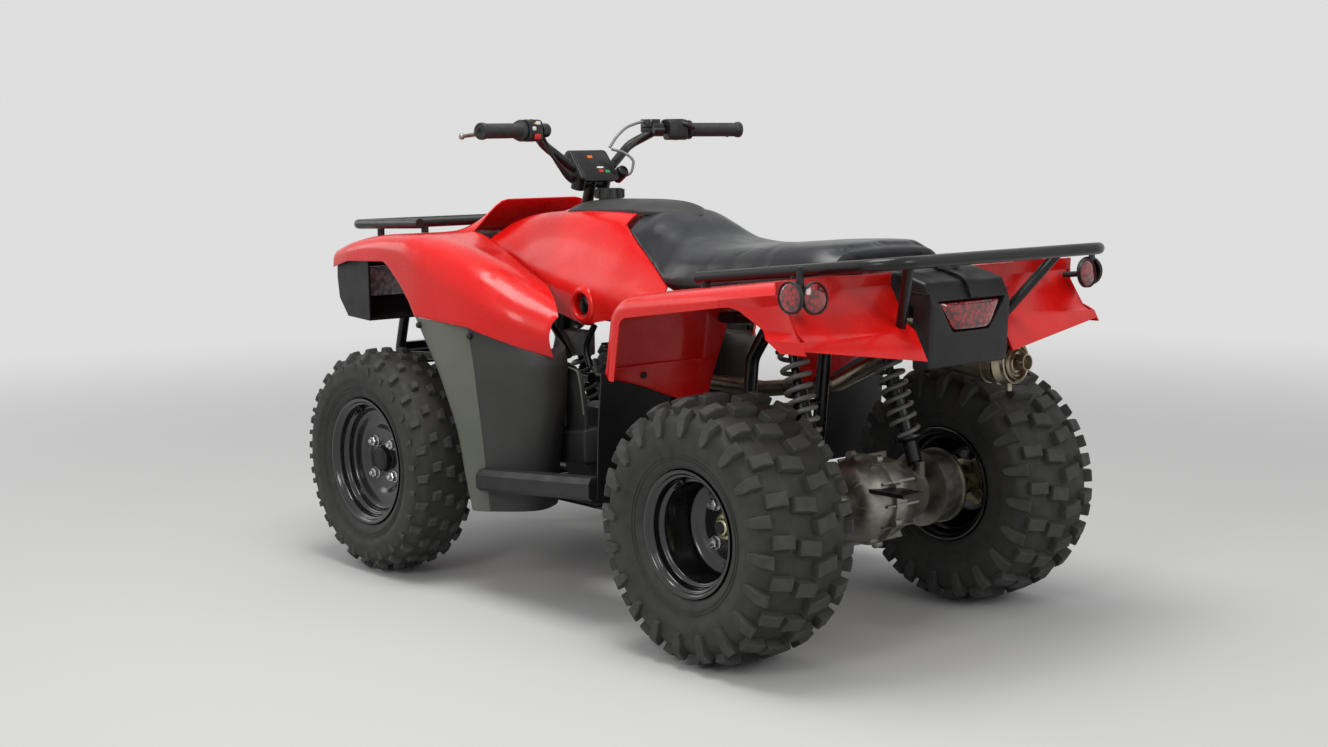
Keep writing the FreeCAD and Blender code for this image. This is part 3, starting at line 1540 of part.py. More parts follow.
def skid_plate():
    top = ground_clear + rail_lift + panel_gap
    line = [(x, top + rise) for x, rise in skid_line]
    return flat_prism(walled(line, -skid_wall), "y", -skid_half, skid_half).cut(frame())


hitch_x = (-705.0, -600.0)
hitch_hole_x = -680.0
hitch_leg_half = 22.0
hitch_leg_low = 262.0


@lru_cache(maxsize=None)
def hitch():
    tongue = box((hitch_x[0], -hitch_half, hitch_top - hitch_wall), (hitch_x[1], hitch_half, hitch_top))
    hole = rod((hitch_hole_x, 0, hitch_leg_low), (hitch_hole_x, 0, hitch_top + hitch_half), hitch_hole_r)
    front = hitch_x[1]
    leg = box((front - hitch_wall, -hitch_leg_half, hitch_leg_low), (front, hitch_leg_half, hitch_top))
    return fused([tongue, leg]).cut(hole).cut(final_drive())


# Steering

@lru_cache(maxsize=None)
def steering_stem():
    """Stem, top clamp, and the pitman plate at its foot that carries the tie rods' pins."""
    half = pitman_wall / 2
    parts = [rod(stem_point(-stem_tail), stem_point(stem_length), stem_r),
             rod(stem_point(pitman_along - half), stem_point(pitman_along + half), pitman_hub_r)]
    for s in (1, -1):
        low = stem_point(pitman_along - tie_pin_drop, pitman_arm, s * tie_pin_y)
        parts.append(rod(low, stem_point(pitman_along + half, pitman_arm, s * tie_pin_y), pin_r))
    tip_half = tie_pin_y + pin_r * 2
    plan = [(pitman_arm + pitman_end, -tip_half), (pitman_arm + pitman_end, tip_half), (0, pitman_root_half),
            (0, -pitman_root_half)]
    pts = [V(*stem_point(pitman_along - half, back, y)) for back, y in plan]
    up = V(*stem_point(pitman_wall)) - V(*stem_point(0))
    parts.append(Part.Face(Part.makePolygon(pts + pts[:1])).extrude(up))
    for s in (1, -1):
        parts.append(rod(stem_point(stem_length - clamp_low, 0, s * clamp_y),
                         stem_point(stem_length + clamp_rise, 0, s * clamp_y), clamp_r))
    bar_at = stem_length - clamp_bar_drop
    parts.append(rod(stem_point(bar_at, 0, -clamp_y), stem_point(bar_at, 0, clamp_y), clamp_bar_r))
    return fused(parts)


bar_points = [(322, 60, 958), (338, 130, 1010), (300, 190, 1046), (262, 255, 1045), (223, grip_end_y, 1044)]
grip_start = bar_points[-2]
lever_points = [(44, -6, 4), (318, 262, 1043), (298, 330, 1038), (268, 400, 1036)]


@lru_cache(maxsize=None)
def handlebar():
    middle = stem_point(stem_length)
    left = [(middle[0], 0, middle[2])] + bar_points
    right = [(x, -y, z) for x, y, z in left]
    return tube(right[:0:-1] + left, bar_r, bar_bend).cut(steering_stem())


def grip_line(side):
    """Start of a grip and the direction to its end."""
    start = V(grip_start[0], side * grip_start[1], grip_start[2])
    end = V(bar_points[-1][0], side * bar_points[-1][1], bar_points[-1][2])
    return start, (end - start).normalize(), (end - start).Length


@lru_cache(maxsize=None)
def grips():
    parts = []
    for s in (1, -1):
        start, run, length = grip_line(s)
        body = Part.makeCylinder(grip_r, length + grip_cap, start, run)
        collar = Part.makeCylinder(grip_r + grip_flange_h, grip_flange_w, start, run)
        parts.append(biggest(fused([body, collar]).cut(handlebar())))
    return Part.makeCompound(parts)


@lru_cache(maxsize=None)
def controls():
    """Switch housing and lever on the left, throttle case and lever on the right, each with its perch."""
    parts = []
    for s in (1, -1):
        inner, run, length = grip_line(s)
        run = run * -1
        mid = inner + run * perch_at
        dx, dy, dz = lever_points[0]
        case = rod(tuple(inner + run * control_start), tuple(inner + run * control_end), control_r)
        perch = rod(tuple(mid), tuple(mid + V(dx + 2, s * dy, dz)), perch_r)
        route = [tuple(mid + V(dx, s * dy, dz))] + [(x, s * y, z) for x, y, z in lever_points[1:]]
        lever = tube(route, lever_r, lever_r * 5)
        parts.append(biggest(fused([case, perch, lever]).cut(handlebar())))
    return Part.makeCompound(parts)


pod_outline = [(318, 915), (300, 950), (330, 1004), (352, 1012), (430, 985), (447, 950), (430, 900),
               (380, 888)]


@lru_cache(maxsize=None)
def instrument_pod():
    body = flat_prism(pod_outline, "y", -pod_half, pod_half)
    body = body.makeFillet(pod_round, [e for e in body.Edges if e.BoundBox.YLength > pod_half])
    return body.cut(steering_stem()).cut(handlebar())


def knuckle(side):
    """Kingpin post, spindle, brake plate and steering arm with its pin."""
    post = rod(king_point(king_low + running_gap, side), king_point(king_high - running_gap, side), ball_r)
    inner = kingpin_y + neck_start
    plate_out = brake_plate_y + brake_plate_wall
    end = front_track / 2 + spindle_reach
    profile = [(inner, 0), (inner, neck_out_r), (brake_plate_y, neck_out_r), (brake_plate_y, brake_plate_r),
               (plate_out, brake_plate_r), (plate_out, spindle_r), (end, spindle_r), (end, 0)]
    spindle = spun([(side * y, r) for y, r in profile], front_axle_x, front_tyre_r)
    top = arm_eye_low + arm_boss_half
    arm = rod(king_point(arm_eye_low, side), king_point(arm_eye_low, side, knuckle_arm), steer_arm_r)
    seat_at = king_point(top, side, knuckle_arm)
    boss = rod(king_point(arm_eye_low - arm_boss_half, side, knuckle_arm), seat_at, arm_boss_r)
    pin = rod(seat_at, king_point(top + eye_lift * 2 + eye_thick, side, knuckle_arm), pin_r)
    return fused([spindle, post, fused([arm, boss, pin])])


def tie_rod(side):
    """From the pitman pin out to the open eye over the knuckle's pin."""
    inner = V(*stem_point(pitman_along - tie_eye_along, pitman_arm, side * tie_pin_y))
    up = (V(*stem_point(pitman_wall)) - V(*stem_point(0))).normalize()
    outer = V(*king_point(arm_eye_low + arm_boss_half + eye_lift + eye_thick / 2, side, knuckle_arm))
    king_up = (V(*king_point(pitman_wall, side)) - V(*king_point(0, side))).normalize()
    eye_in = Part.makeCylinder(tie_eye_r, tie_eye_h, inner - up * (tie_eye_h / 2), up)
    eye_out = Part.makeCylinder(eye_bore + eye_wall, eye_thick, outer - king_up * (eye_thick / 2), king_up)
    shaft = rod(tuple(inner), tuple(outer), tie_rod_r)
    reach = pitman_arm
    bore_in = Part.makeCylinder(pin_r + axle_fit, reach, inner - up * (reach / 2), up)
    bore_out = Part.makeCylinder(eye_bore, reach, outer - king_up * (reach / 2), king_up)
    return fused([eye_in, eye_out, shaft]).cut(bore_in).cut(bore_out)


# Wheels and axle

front_rows = [(-46, 44, 30, 0.0, 0.0, 16), (0, 34, 30, 0.0, 0.5, 16), (46, 44, 30, 0.0, 0.0, 16)]
rear_rows = [(-62, 88, 32, -18.0, 0.0, 16), (62, 88, 32, 18.0, 0.5, 16)]


# a wheel's place on the left, and the sizes of its tyre and rim
front_wheel_at = (front_axle_x, front_track / 2, front_tyre_r)
front_wheel_sizes = (front_rim_r, front_rim_w)
rear_wheel_at = (rear_axle_x, rear_track / 2, rear_tyre_r)
rear_wheel_sizes = (rear_rim_r, rear_rim_w)


def front_tyre(side):
    x, y, radius = front_wheel_at
    return tyre(x, side * y, radius, front_tyre_w, *front_wheel_sizes, front_rows)


def rear_tyre(side):
    x, y, radius = rear_wheel_at
    return tyre(x, side * y, radius, rear_tyre_w, *rear_wheel_sizes, rear_rows)


def disc_seat(side, track, rim_w, inset):
    """Where the wheel disc's inner face lies on the hub."""
    return side * (track / 2 + rim_w / 2 - inset - disc_dish / 2 - rim_wall)


def front_rim(side):
    x, y, z = front_wheel_at
    return wheel_rim(x, side * y, z, side, *front_wheel_sizes, front_disc_inset)


def front_hub(side):
    x, z = front_axle_x, front_tyre_r
    seat_y = disc_seat(side, front_track, front_rim_w, front_disc_inset)
    flange_in = seat_y - side * front_flange_h
    drum_in = side * (brake_plate_y + brake_plate_wall + brake_gap)
    parts = [rod((x, drum_in, z), (x, flange_in, z), front_drum_r),
             rod((x, flange_in, z), (x, seat_y, z), flange_r),
             rod((x, seat_y, z), (x, seat_y + side * front_nose_h, z), front_nose_r)]
    bore_end = (x, side * (front_track / 2 + spindle_reach * 2), z)
    bore = rod((x, side * kingpin_y, z), bore_end, spindle_r + axle_fit)
    return fused(parts + studs(x, z, seat_y, side)).cut(bore)


def rear_rim(side):
    x, y, z = rear_wheel_at
    return wheel_rim(x, side * y, z, side, *rear_wheel_sizes, rear_disc_inset)


def rear_hub(side):
    x, z = rear_axle_x, rear_tyre_r
    seat_y = disc_seat(side, rear_track, rear_rim_w, rear_disc_inset)
    parts = [rod((x, seat_y - side * rear_flange_h, z), (x, seat_y, z), flange_r),
             rod((x, side * rear_boss_in_y, z), (x, seat_y + side * rear_boss_out, z), rear_boss_r)]
    return fused(parts + studs(x, z, seat_y, side))


def rear_axle():
    """The axle shaft with the hub flanges at its ends."""
    y = rear_track / 2 + axle_reach
    shaft = rod((rear_axle_x, -y, rear_tyre_r), (rear_axle_x, y, rear_tyre_r), axle_r)
    return fused([shaft, rear_hub(1), rear_hub(-1)])


def build():
    nodes = {
        "frame": frame(), "engine": engine(), "front_fender": front_fender(), "tank_cover": tank_cover(),
        "tank_top": tank_top(), "fuel_cap": fuel_cap(), "fuel_valve": fuel_valve(),
        "rear_fender": rear_fender(), "seat": seat(), "front_rack": front_rack(), "rear_rack": rear_rack(),
        "front_fascia": front_fascia(),
        "headlights": headlights(), "bumper": bumper(), "tail_box": tail_box(), "tail_light": tail_light(),
        "reflectors": reflectors(), "swingarm": swingarm(), "final_drive": final_drive(),
        "rear_shocks": rear_shocks(), "exhaust": exhaust(), "skid_plate": skid_plate(), "hitch": hitch(),
        "steering_stem": steering_stem(), "handlebar": handlebar(), "grips": grips(), "controls": controls(),
        "instrument_pod": instrument_pod(), "rear_axle": rear_axle(), "side_cover": side_cover(),
    }
    nodes["leg_shields"] = both(leg_shield())
    nodes["footwells"] = both(footwell())
    nodes["footpegs"] = both(footpeg())
    nodes["rear_mudguards"] = both(mudguard())
    nodes["front_arms"] = Part.makeCompound([front_arms(1), front_arms(-1)])
    nodes["front_shocks"] = Part.makeCompound([front_shock(1), front_shock(-1)])
    for name, side in (("left", 1), ("right", -1)):
        nodes["knuckle_" + name] = knuckle(side)
        nodes["tie_rod_" + name] = tie_rod(side)
        nodes["front_tyre_" + name] = front_tyre(side)
        nodes["front_rim_" + name] = front_rim(side)
        nodes["front_hub_" + name] = front_hub(side)
        nodes["rear_tyre_" + name] = rear_tyre(side)
        nodes["rear_rim_" + name] = rear_rim(side)
    return nodes


os.makedirs("parts", exist_ok=True)
for node, shape in build().items():
    save(node, shape)
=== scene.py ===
import bpy
import bmesh
import json
import math
from mathutils import Matrix, Vector

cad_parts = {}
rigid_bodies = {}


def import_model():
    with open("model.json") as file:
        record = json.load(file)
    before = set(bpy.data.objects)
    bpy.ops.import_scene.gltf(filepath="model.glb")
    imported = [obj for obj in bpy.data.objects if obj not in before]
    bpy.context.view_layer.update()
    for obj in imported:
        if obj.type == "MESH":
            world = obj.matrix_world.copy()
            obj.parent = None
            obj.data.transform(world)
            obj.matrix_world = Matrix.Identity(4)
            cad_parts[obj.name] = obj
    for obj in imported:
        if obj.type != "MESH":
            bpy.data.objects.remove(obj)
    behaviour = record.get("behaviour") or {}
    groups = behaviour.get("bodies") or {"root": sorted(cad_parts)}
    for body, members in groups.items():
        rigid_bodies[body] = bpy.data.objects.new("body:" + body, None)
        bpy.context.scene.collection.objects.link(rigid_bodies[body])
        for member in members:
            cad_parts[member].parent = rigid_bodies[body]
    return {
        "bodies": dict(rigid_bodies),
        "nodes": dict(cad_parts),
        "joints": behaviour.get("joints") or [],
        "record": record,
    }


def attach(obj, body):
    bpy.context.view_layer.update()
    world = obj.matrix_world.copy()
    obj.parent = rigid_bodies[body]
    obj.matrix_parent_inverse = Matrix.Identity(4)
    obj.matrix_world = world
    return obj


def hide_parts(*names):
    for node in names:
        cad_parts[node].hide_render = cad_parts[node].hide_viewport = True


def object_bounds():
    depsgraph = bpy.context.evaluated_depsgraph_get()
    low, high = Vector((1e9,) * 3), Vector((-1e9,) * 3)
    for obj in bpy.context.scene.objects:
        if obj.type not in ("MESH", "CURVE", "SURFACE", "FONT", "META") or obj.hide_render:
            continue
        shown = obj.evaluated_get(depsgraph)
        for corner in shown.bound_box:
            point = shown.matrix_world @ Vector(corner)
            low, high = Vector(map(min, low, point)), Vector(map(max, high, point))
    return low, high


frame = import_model()
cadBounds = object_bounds()
nodes = frame["nodes"]
print("frame loaded:", len(nodes), "nodes")


# colours and nodes

def srgb(hexText, alpha=1.0):
    # sRGB hex to linear
    values = [int(hexText[i:i + 2], 16) / 255 for i in (1, 3, 5)]
    return tuple(v / 12.92 if v <= 0.04045 else ((v + 0.055) / 1.055) ** 2.4 for v in values) + (alpha,)


def addNode(tree, kind, inputs=None, **settings):
    # adds a node, sets its properties, then fills or links its sockets
    node = tree.nodes.new(kind)
    for key, value in settings.items():
        setattr(node, key, value)
    for key, value in (inputs or {}).items():
        if isinstance(value, bpy.types.NodeSocket):
            tree.links.new(value, node.inputs[key])
        else:
            node.inputs[key].default_value = value
    return node


def ramp(tree, fac, stops):
    node = addNode(tree, "ShaderNodeValToRGB", {"Fac": fac})
    while len(node.color_ramp.elements) < len(stops):
        node.color_ramp.elements.new(0.5)
    for element, (place, colour) in zip(node.color_ramp.elements, stops):
        element.position = place
        element.color = colour
    return node.outputs["Color"]


def blankMaterial(name):
    material = bpy.data.materials.new(name)
    material.use_nodes = True
    tree = material.node_tree
    tree.nodes.clear()
    shader = addNode(tree, "ShaderNodeBsdfPrincipled")
    out = addNode(tree, "ShaderNodeOutputMaterial")
    tree.links.new(shader.outputs[0], out.inputs["Surface"])
    place = addNode(tree, "ShaderNodeTexCoord").outputs["Object"]
    return material, tree, shader, place


finishes = {
    # millimetres: drift, smear and grain are the sizes of the patterns and depth is the bump's; tone is the second
    # shade, mix its share. Etched and cast grain is 0.2 to 0.5 in truth and drawn at 1 to 2 so that it shows.
    # Injection moulded, coloured right through and polished: broad soft highlights under a thin gloss
    "redGlossPolypropylene": dict(base="#d8120e", tone="#bd0c0a", mix=0.35, drift=160, rough=(0.20, 0.34), smear=45,
                                  grain=0.9, depth=0.012, coat=0.18, coatRough=0.05, shine=0.32),
    # moulded against an etched tool: dull, with a grain that breaks the highlights. On the leg shields' outer strip
    # this lighter grey is painted light: the strip is the same dark moulding as the wall, drawn lighter where it faces
    # the lamps
    "greyTexturedPolypropylene": dict(base="#5d5f57", tone="#4e504a", mix=0.5, drift=120, rough=(0.46, 0.62),
                                      smear=60, grain=1.3, depth=0.10, shine=0.4),
    # the same moulding in a darker mix
    "charcoalTexturedPolypropylene": dict(base="#2c2c2b", tone="#353534", mix=0.5, drift=110, rough=(0.44, 0.60),
                                          smear=55, grain=1.3, depth=0.10, shine=0.4),
    # black mix, a little smoother: a grey sheen where light grazes it
    "blackTexturedPolypropylene": dict(base="#161617", tone="#1f1f20", mix=0.5, drift=90, rough=(0.40, 0.58),
                                       smear=50, grain=1.1, depth=0.09, shine=0.4),
    # sprayed and baked on welded tube: smooth, with a faint orange peel
    "satinBlackEnamel": dict(base="#0f0f10", tone="#18181a", mix=0.4, drift=70, rough=(0.24, 0.38), smear=30,
                             grain=2.2, depth=0.02, coat=0.1, coatRough=0.15, shine=0.35),
    # a thicker coat on pressed steel: sharp reflections round the rim
    "glossBlackEnamel": dict(base="#0d0d0f", tone="#17171a", mix=0.4, drift=60, rough=(0.16, 0.28), smear=35,
                             grain=2.0, depth=0.015, coat=0.5, coatRough=0.08),
    # rolled with a leather grain: a soft sheen on the curves
    "grainedVinyl": dict(base="#17181c", tone="#202126", mix=0.5, drift=80, rough=(0.27, 0.40), smear=40,
                         grain=1.6, depth=0.11, sheen=0.05, shine=0.4),
    # moulded and rubbed by hands: matt, lighter in places
    "nitrileGripRubber": dict(base="#202021", tone="#2c2c2d", mix=0.4, drift=20, rough=(0.55, 0.72), smear=14,
                              grain=1.0, depth=0.08),
    # cured with carbon black: dark and matt, with a brown bloom
    "naturalTyreRubber": dict(base="#242423", tone="#33322f", mix=0.6, drift=60, rough=(0.60, 0.82), smear=24,
                              grain=1.8, depth=0.12),
    # the same rubber on the lugs, paler and rougher: dust on them, and a painted sheen for lug tops that catch light
    "dustAndSheenTreadRubber": dict(base="#3a3a38", tone="#2c2c2b", mix=0.6, drift=30, rough=(0.66, 0.88), smear=16,
                             grain=1.4, depth=0.12),
    # turned and oil blackened: dim metallic highlights
    "blackenedSteel": dict(base="#2b2b2c", tone="#1c1c1d", mix=0.5, drift=40, rough=(0.34, 0.52), smear=20,
                           grain=1.4, depth=0.05, metal=0.6),
    # sand cast and left bare: a dull grain, greyer in patches
    "castAluminium": dict(base="#a3a198", tone="#77756c", mix=0.6, drift=35, rough=(0.36, 0.54), smear=18,
                          grain=1.4, depth=0.14, metal=1.0),
    # heatproof paint over a cast skin: the grain shows through
    "blackPaintedAluminium": dict(base="#232322", tone="#30302e", mix=0.5, drift=45, rough=(0.34, 0.52), smear=22,
                                  grain=1.6, depth=0.12),
    # zinc with a chromate dip: pale yellow and streaky
    "yellowZincPlate": dict(base="#c9c49c", tone="#a8a684", mix=0.6, drift=18, rough=(0.24, 0.40), smear=12,
                            grain=1.0, depth=0.03, metal=1.0),
    # clear passivated zinc: bright, a little cloudy
    "brightZincPlate": dict(base="#c4c5c6", tone="#9fa0a1", mix=0.4, drift=15, rough=(0.22, 0.36), smear=10,
                            grain=0.8, depth=0.02, metal=1.0),
    # powder coat on wound wire: even and half dull
    "greySpringEnamel": dict(base="#6c6d68", tone="#51524e", mix=0.5, drift=30, rough=(0.30, 0.46), smear=18,
                             grain=1.2, depth=0.03),
    # tube browned by heat: straw patches on a brushed shine
    "heatTintedStainless": dict(base="#a79d8a", tone="#7d6f5c", mix=0.7, drift=50, rough=(0.26, 0.42), smear=22,
                                grain=1.2, depth=0.04, metal=1.0),
}


def finishMaterial(name):
    v = finishes[name]
    material, tree, shader, place = blankMaterial(name)
    drift = addNode(tree, "ShaderNodeTexNoise", {"Vector": place, "Scale": 1000 / v["drift"], "Detail": 3.0})
    low = tuple(c * v["mix"] + b * (1 - v["mix"]) for c, b in zip(srgb(v["tone"]), srgb(v["base"])))
    shade = ramp(tree, drift.outputs["Fac"], [(0.35, low), (0.65, srgb(v["base"]))])
    smear = addNode(tree, "ShaderNodeTexNoise", {"Vector": place, "Scale": 1000 / v["smear"], "Detail": 4.0})
    rough = addNode(tree, "ShaderNodeMapRange", {"Value": smear.outputs["Fac"], "From Min": 0.3, "From Max": 0.7,
                                                 "To Min": v["rough"][0], "To Max": v["rough"][1]})
    grain = addNode(tree, "ShaderNodeTexNoise", {"Vector": place, "Scale": 1000 / v["grain"], "Detail": 2.0})
    bump = addNode(tree, "ShaderNodeBump", {"Height": grain.outputs["Fac"], "Strength": 1.0,
                                            "Distance": v["depth"] / 1000})
    tree.links.new(shade, shader.inputs["Base Color"])
    tree.links.new(rough.outputs[0], shader.inputs["Roughness"])
    tree.links.new(bump.outputs[0], shader.inputs["Normal"])
    shader.inputs["Metallic"].default_value = v.get("metal", 0.0)
    shader.inputs["Coat Weight"].default_value = v.get("coat", 0.0)
    shader.inputs["Coat Roughness"].default_value = v.get("coatRough", 0.1)
    shader.inputs["Sheen Weight"].default_value = v.get("sheen", 0.0)
    shader.inputs["Specular IOR Level"].default_value = v.get("shine", 0.5)
    return material


materials = {name: finishMaterial(name) for name in finishes}


def lensMaterial(name, colour, dark, cellMm):
    # moulded acrylic lens: small prism cells behind a glossy face
    material, tree, shader, place = blankMaterial(name)
    cells = addNode(tree, "ShaderNodeTexVoronoi", {"Vector": place, "Scale": 1000 / cellMm})
    shade = ramp(tree, cells.outputs["Distance"], [(0.05, srgb(colour)), (0.75, srgb(dark))])
    bump = addNode(tree, "ShaderNodeBump", {"Height": cells.outputs["Distance"], "Strength": 0.8,
                                            "Distance": 0.0012})
    tree.links.new(shade, shader.inputs["Base Color"])
    tree.links.new(bump.outputs[0], shader.inputs["Normal"])
    shader.inputs["Roughness"].default_value = 0.12
    shader.inputs["Coat Weight"].default_value = 1.0
    shader.inputs["Coat Roughness"].default_value = 0.03
    return material


materials["redAcrylicLens"] = lensMaterial("redAcrylicLens", "#b80c14", "#3e0408", 9)
materials["clearAcrylicLens"] = lensMaterial("clearAcrylicLens", "#dfe3e6", "#8d9399", 12)

smallColours = {
    # moulded switch caps, extruded sheath and printed lamp windows: one colour, a little soiled
    "yellowSwitchPlastic": ("#e0c020", 0.42), "redSwitchPlastic": ("#c01c1c", 0.40),
    "whiteSwitchPlastic": ("#c9cbc8", 0.45), "greyCableSheath": ("#77797a", 0.38), "amberLamp": ("#d0641c", 0.25),
    "redLamp": ("#b02020", 0.25), "greenLamp": ("#1f8a48", 0.25),
}
for name, (colour, rough) in smallColours.items():
    finishes[name] = dict(base=colour, tone="#3a3a3a", mix=0.12, drift=9, rough=(rough - 0.06, rough + 0.08), smear=6,
                          grain=0.5, depth=0.01)
    materials[name] = finishMaterial(name)
print("materials made:", len(materials))

nodeFinish = {
    "redGlossPolypropylene": ["front_fender", "tank_cover", "rear_fender"],
    # the lighter grey on the imported leg shields is painted light; the shield's own moulding is the darker charcoal
    "greyTexturedPolypropylene": ["leg_shields"],
    "charcoalTexturedPolypropylene": ["tank_top", "side_cover"],
    "blackTexturedPolypropylene": ["front_fascia", "tail_box", "skid_plate", "footwells", "rear_mudguards",
                                   "controls", "instrument_pod", "fuel_cap", "fuel_valve"],
    "satinBlackEnamel": ["frame", "front_rack", "rear_rack", "bumper", "swingarm", "hitch", "front_arms",
                         "steering_stem", "handlebar"],
    "glossBlackEnamel": ["front_rim_left", "front_rim_right", "rear_rim_left", "rear_rim_right"],
    "grainedVinyl": ["seat"],
    "nitrileGripRubber": ["grips"],
    "naturalTyreRubber": ["front_tyre_left", "front_tyre_right", "rear_tyre_left", "rear_tyre_right"],
    "castAluminium": ["final_drive", "knuckle_left", "knuckle_right"],
    "blackPaintedAluminium": ["engine"],
    "yellowZincPlate": ["rear_axle", "front_hub_left", "front_hub_right"],
    "brightZincPlate": ["tie_rod_left", "tie_rod_right", "footpegs"],
    "blackenedSteel": ["rear_shocks", "front_shocks"],
    "heatTintedStainless": ["exhaust"],
    "redAcrylicLens": ["tail_light", "reflectors"],
    "clearAcrylicLens": ["headlights"],
}
for finish, names in nodeFinish.items():
    for name in names:
        cad = nodes[name]
        cad.data.materials.clear()
        cad.data.materials.append(materials[finish])
print("CAD nodes finished")


# shared shape tools, sizes in millimetres until a mesh is made

mm = 0.001


def softCurve(ts, values, t):
    # monotone cubic through the values: no overshoot between two points
    gaps = [b - a for a, b in zip(ts, ts[1:])]
    slopes = [(b - a) / gap for a, b, gap in zip(values, values[1:], gaps)]
    ends = [slopes[0]]
    for left, right, gl, gr in zip(slopes, slopes[1:], gaps, gaps[1:]):
        if left * right <= 0:
            ends.append(0.0)
        else:
            ends.append(3 * (gl + gr) / ((2 * gr + gl) / left + (gr + 2 * gl) / right))
    ends.append(slopes[-1])
    i = max([0] + [j for j in range(len(gaps)) if ts[j] <= t])
    s = (t - ts[i]) / gaps[i]
    a, b = values[i], values[i + 1]
    rise = gaps[i] * (s * (1 - s) ** 2 * ends[i] - s * s * (1 - s) * ends[i + 1])
    return a * (1 + 2 * s) * (1 - s) ** 2 + b * (3 - 2 * s) * s * s + rise


def lineAt(line, x):
    # where a feature line of (x, y, z) points stands at x
    pts = sorted(line)
    xs = [p[0] for p in pts]
    return (x, softCurve(xs, [p[1] for p in pts], x), softCurve(xs, [p[2] for p in pts], x))


def polyAt(points, x):
    # straight interpolation in a list of (x, z) points
    pts = sorted(points)
    for a, b in zip(pts, pts[1:]):
        if x <= b[0]:
            return a[1] + (b[1] - a[1]) * max(0.0, x - a[0]) / (b[0] - a[0])
    return pts[-1][1]


def through(points, steps):
    # a smooth line through points, each span cut in steps
    ts = [0.0]
    for a, b in zip(points, points[1:]):
        ts.append(ts[-1] + max(1e-6, math.dist(a, b)))
    out = []
    for i in range(len(points) - 1):
        for k in range(steps):
            t = ts[i] + (ts[i + 1] - ts[i]) * k / steps
            out.append(tuple(softCurve(ts, [p[c] for p in points], t) for c in range(len(points[0]))))
    out.append(tuple(points[-1]))
    return out


def evenly(low, high, count):
    return [low + (high - low) * i / (count - 1) for i in range(count)]


def grid(rows, closeRows=False, closeCols=False):
    # vertices and quads of a grid of points
    cols = len(rows[0])
    verts = [p for row in rows for p in row]
    faces = []
    for i in range(len(rows) if closeRows else len(rows) - 1):
        k = (i + 1) % len(rows)
        for j in range(cols if closeCols else cols - 1):
            m = (j + 1) % cols
            faces.append((i * cols + j, k * cols + j, k * cols + m, i * cols + m))
    return verts, faces


def capped(verts, cols):
    # the two end faces of a grid whose columns are closed
    return [tuple(range(cols)), tuple(range(len(verts) - cols, len(verts)))[::-1]]


def flipSide(verts, faces):
    # the same shape on the other side of the vehicle
    return [(x, -y, z) for x, y, z in verts], [tuple(reversed(f)) for f in faces]


def mirroredRow(half):
    # a row of points from the middle outwards, made whole
    return [(x, -y, z) for x, y, z in half[:0:-1]] + half


def onSide(point, side):
    return (point[0], point[1] * side, point[2])


def joined(*shapes):
    verts, faces = [], []
    for v, f in shapes:
        start = len(verts)
        verts += v
        faces += [tuple(start + i for i in face) for face in f]
    return verts, faces


def bothSides(shape):
    return joined(shape, flipSide(*shape))


def placed(name, data):
    # a new object in the scene
    made = bpy.data.objects.new(name, data)
    bpy.context.scene.collection.objects.link(made)
    return made


def newPiece(name, shape, finish, smooth=40, weld=0.05):
    # one mesh object in metres; smooth is the angle in degrees past which an edge stays sharp
    mesh = bpy.data.meshes.new(name)
    mesh.from_pydata([(x * mm, y * mm, z * mm) for x, y, z in shape[0]], [], shape[1])
    piece = placed(name, mesh)
    mesh.materials.append(materials[finish])
    data = bmesh.new()
    data.from_mesh(mesh)
    bmesh.ops.remove_doubles(data, verts=data.verts, dist=weld * mm)
    bmesh.ops.dissolve_degenerate(data, dist=1e-6, edges=data.edges)
    bmesh.ops.recalc_face_normals(data, faces=data.faces)
    data.to_mesh(mesh)
    data.free()
    shadeSmooth(mesh, smooth)
    return piece


def shadeSmooth(mesh, angle):
    mesh.shade_smooth()
    mesh.set_sharp_from_angle(angle=math.radians(angle))


def applied(piece, smooth=40):
    # the piece with its modifiers made real
    seen = piece.evaluated_get(bpy.context.evaluated_depsgraph_get())
    mesh = bpy.data.meshes.new_from_object(seen)
    piece.modifiers.clear()
    old = piece.data
    piece.data = mesh
    bpy.data.meshes.remove(old)
    mesh.name = piece.name
    shadeSmooth(mesh, smooth)
    return piece


def roundEdges(piece, width, segments=2, angle=50):
    # a bevel on edges sharper than the angle
    edge = piece.modifiers.new("edge", "BEVEL")
    edge.width = width * mm
    edge.segments = segments
    edge.limit_method = "ANGLE"
    edge.angle_limit = math.radians(angle)


def thicken(piece, wall, bevel=0, offset=-1, smooth=40):
    # a moulded wall with rounded rims
    solid = piece.modifiers.new("wall", "SOLIDIFY")
    solid.thickness = wall * mm
    solid.offset = offset
    if bevel:
        roundEdges(piece, bevel)
    return applied(piece, smooth)


def mount(piece, body="chassis", replaces=()):
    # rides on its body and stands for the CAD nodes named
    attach(piece, body)
    if replaces:
        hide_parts(*replaces)


def fitted(name, shape, finish, body="chassis", replaces=(), smooth=40, edge=None):
    # a piece made and mounted, its edges rounded by edge = (width, segments)
    piece = newPiece(name, shape, finish, smooth)
    if edge:
        softened(piece, *edge)
    mount(piece, body, replaces)


def resample(points, count):
    # the same line with evenly spaced points
    lengths = [0.0]
    for a, b in zip(points, points[1:]):
        lengths.append(lengths[-1] + math.dist(a, b))
    out = []
    k = 0
    for i in range(count):
        want = lengths[-1] * i / (count - 1)
        while k < len(points) - 2 and lengths[k + 1] < want:
            k += 1
        span = lengths[k + 1] - lengths[k] or 1.0
        t = min(1.0, (want - lengths[k]) / span)
        out.append(tuple(points[k][c] + (points[k + 1][c] - points[k][c]) * t for c in range(3)))
    return out


